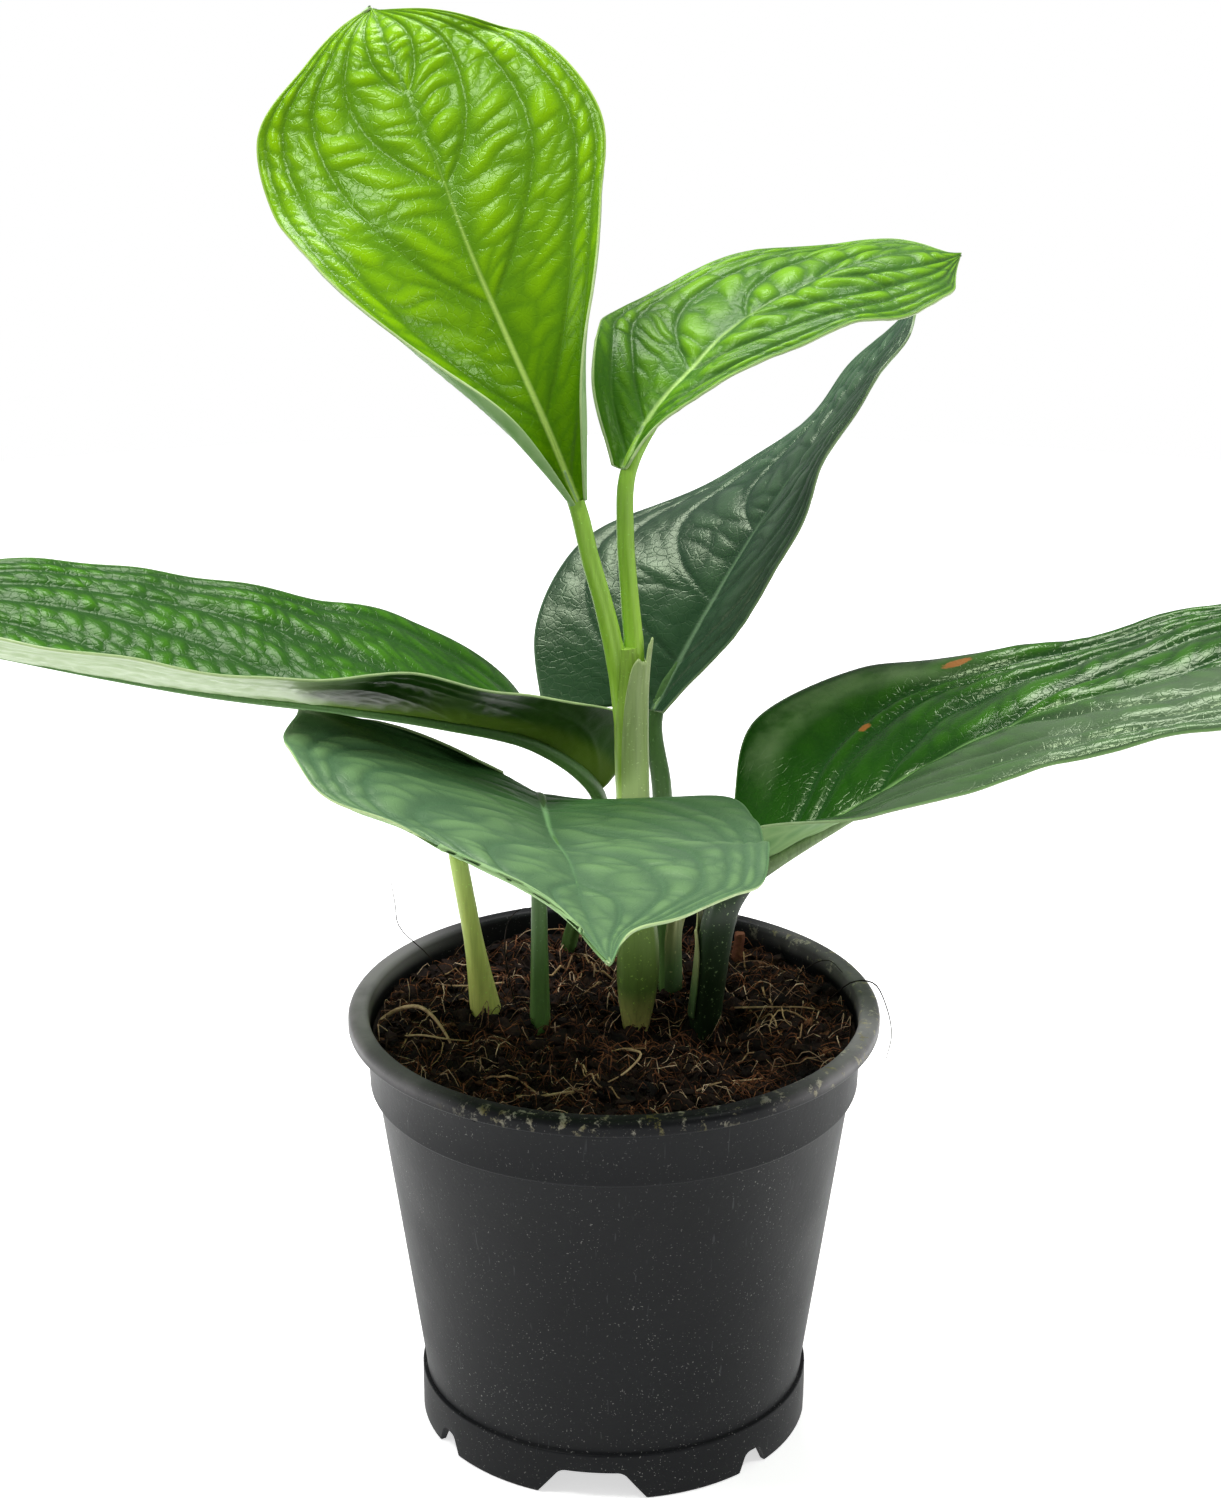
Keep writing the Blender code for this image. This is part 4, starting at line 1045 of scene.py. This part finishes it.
def build_petiole(name, points, radii, leaf, look, cad_node, facing, groove=0.2, reach=0.8):
    """A stalk that goes on along the underside of a leaf's midrib, sunk below the upper face."""
    ts = np.linspace(0.0, reach, len(radii) - len(points))
    middle, _, face, _ = midrib_frame(leaf, ts)
    sunk = [m - f * 0.85 * r for m, f, r in zip(middle, face, radii[len(points):])]
    line = points + [tuple(point) for point in sunk]
    build_stalk(name, line, radii, look, cad_node, facing, groove)


bright_stalk = stalk_look("bright_stalk", (0.42, 0.72, 0.07), (0.30, 0.56, 0.05), (0.24, 0.48, 0.06))
green_stalk = stalk_look("green_stalk", (0.10, 0.20, 0.05), (0.06, 0.15, 0.03), (0.09, 0.22, 0.05))
pale_stem = stalk_look("pale_stem", (0.72, 0.62, 0.20), (0.10, 0.17, 0.030), (0.34, 0.56, 0.07), 0.48)
deep_stalk = stalk_look("deep_stalk", (0.008, 0.022, 0.006), (0.012, 0.036, 0.008), (0.20, 0.30, 0.12),
                        0.42, 0.42)
# Painted light: the young stalk's tones are raised to make up for the shade that the leaves cast on it.
new_stalk_painted_light = stalk_look("new_stalk_painted_light", (0.62, 0.66, 0.17), (0.42, 0.60, 0.11), (0.34, 0.55, 0.09))

shoot_middle = [(4.5, 2.5, 84), (5, 2.3, 97), (5.5, 1, 115), (4.5, 0.3, 136), (4, 0, 158), (2.6, -0.2, 189)]
build_stalk("main_shoot", shoot_middle, [2.6, 2.9, 4.8, 4.3, 3.7, 3.7, 2.7], pale_stem,
            "main_stem", (0, -1, 0.1), 0.05, 0.03)
build_petiole("upper_left_petiole", [(2.6, 0.2, 166), (1.1, -0.6, 182), (-1.8, -1.9, 197), (-5.2, -3, 210)],
              [2.2, 2.3, 2.1, 2.0, 1.9, 1.5, 1.1, 0.9, 0.7, 0.45, 0.25], upper_left, bright_stalk,
              "upper_left_stalk", (0.3, -1, 0.2), 0.25)
build_petiole("upper_right_petiole", [(4.6, 0.5, 178), (4.4, 0.5, 188), (3.3, 0.5, 201), (2.4, 0.3, 215)],
              [2.2, 2.2, 2.0, 1.9, 1.8, 1.5, 1.1, 0.9, 0.7, 0.45, 0.25], upper_right, bright_stalk,
              "upper_right_stalk", (-0.4, -1, 0.2))
build_petiole("back_petiole", [(13, 19, 84), (12.8, 18.5, 105), (12, 18, 125), (11, 18.5, 148)],
              [2.5, 2.5, 2.5, 2.3, 1.9, 1.4, 1.1, 0.9, 0.7, 0.45, 0.25], back, green_stalk,
              "back_stalk", (-0.3, -1, 0.2))
build_petiole("left_petiole", [(-11, 46, 84), (-11, 44, 97), (-8.5, 38, 110), (-6, 30, 128)],
              [2.0, 1.9, 1.8, 1.8, 1.8, 1.5, 1.2, 1.0, 0.8, 0.5, 0.25], left, green_stalk,
              "left_stalk", (-0.5, -1, 0.3))
build_petiole("right_petiole", [(20.5, 4, 84), (21, 3, 98), (23.5, -3, 124), (28, -2, 133)],
              [3.6, 3.7, 3.9, 3.2, 1.9, 1.1, 0.7, 0.6, 0.5, 0.4, 0.25], right, deep_stalk,
              "right_stalk", (0.3, -1, 0.4), 0.12)
build_petiole("front_petiole", [(-17, 2.3, 84), (-17, 2.3, 97), (-17, 2, 120), (-17, 3.5, 142)],
              [2.5, 2.4, 1.9, 1.8, 1.8, 1.6, 1.3, 1.0, 0.8, 0.5, 0.25], front, green_stalk,
              "front_stalk", (0.1, -1, 0.1))
build_petiole("new_petiole", [(-27, 8, 84), (-29.5, 7, 97), (-32, 5.5, 115), (-35, 4, 135)],
              [3.4, 3.6, 2.3, 2.1, 1.8, 1.2, 0.8, 0.6, 0.4, 0.3, 0.2], young, new_stalk_painted_light,
              "young_stalk", (0.2, -1, 0.1), 0.1, 0.6)


SHEATH_WALL = 0.00035


def build_sheath(name, centre_line, radii, low, high, turn, reach, look, cad_node,
                 flare=1.0, ragged=1.0):
    """A thin wrap around a stem, open on one side, its upper edge uneven and turned out."""
    points = [Vector(point) for point in centre_line]
    bm = bmesh.new()
    bmesh.ops.create_grid(bm, x_segments=44, y_segments=36, size=1.0)
    tone = bm.verts.layers.float.new("along")
    for vert in bm.verts:
        up = (vert.co.x + 1.0) / 2.0
        around = vert.co.y
        uneven = ragged * (0.05 * math.sin(around * 7.0 + 0.6) - 0.16 * around**2
                           + 0.03 * noise.noise(Vector((around * 6, 2.0, low))))
        height = low + (high - low) * up * (1.0 + uneven)
        t = min(max((height - points[0].z) / (points[-1].z - points[0].z), 0), 1)
        centre, radius = curve_value(points, t), curve_value(radii, t)
        angle = turn + around * reach * (1.0 - 0.30 * up**3)
        ripple = 0.35 * flare * up**6 * math.sin(around * 9.0)
        out = radius + 0.45 + flare * 0.9 * up**5 + ripple
        vert[tone] = up
        vert.co = Vector((centre.x + out * math.cos(angle), centre.y + out * math.sin(angle), height)) * MM
    bmesh.ops.recalc_face_normals(bm, faces=bm.faces)
    sheath = new_object(name, finish_mesh(bm, name, 60), look)
    wall = sheath.modifiers.new("thickness", "SOLIDIFY")
    wall.thickness = SHEATH_WALL
    wall.offset = 0.0
    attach(sheath, "root")
    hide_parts(cad_node)


pale_sheath = stalk_look("pale_sheath", (0.22, 0.33, 0.09), (0.28, 0.42, 0.12), (0.42, 0.54, 0.22), 0.5)
drab_sheath = stalk_look("drab_sheath", (0.05, 0.10, 0.03), (0.09, 0.17, 0.05), (0.34, 0.36, 0.15), 0.55)
shoot_line = [(4, 0, 146), (3.6, 0, 160), (3.2, 0, 174), (3, 0, 190)]
build_sheath("shoot_sheath", shoot_line, [3.6, 3.6, 3.7, 3.8], 146, 189, math.radians(-15),
             math.radians(105), pale_sheath, "stem_sheath")
right_line = [(21, 3, 97), (22, 0.5, 108), (23, -2, 118), (24, -3, 128)]
build_sheath("right_torn_sheath", right_line, [3.7, 3.8, 3.9, 3.9], 99, 127, math.radians(150),
             math.radians(75), drab_sheath, "right_sheath", 0.8, 1.5)
back_line = [(13, 19, 97), (12.8, 18.5, 105), (12.4, 18, 113), (12, 18, 122)]
build_sheath("back_torn_sheath", back_line, [2.5, 2.5, 2.5, 2.5], 98, 121, math.radians(-40),
             math.radians(70), drab_sheath, "back_sheath", 1.4, 1.5)
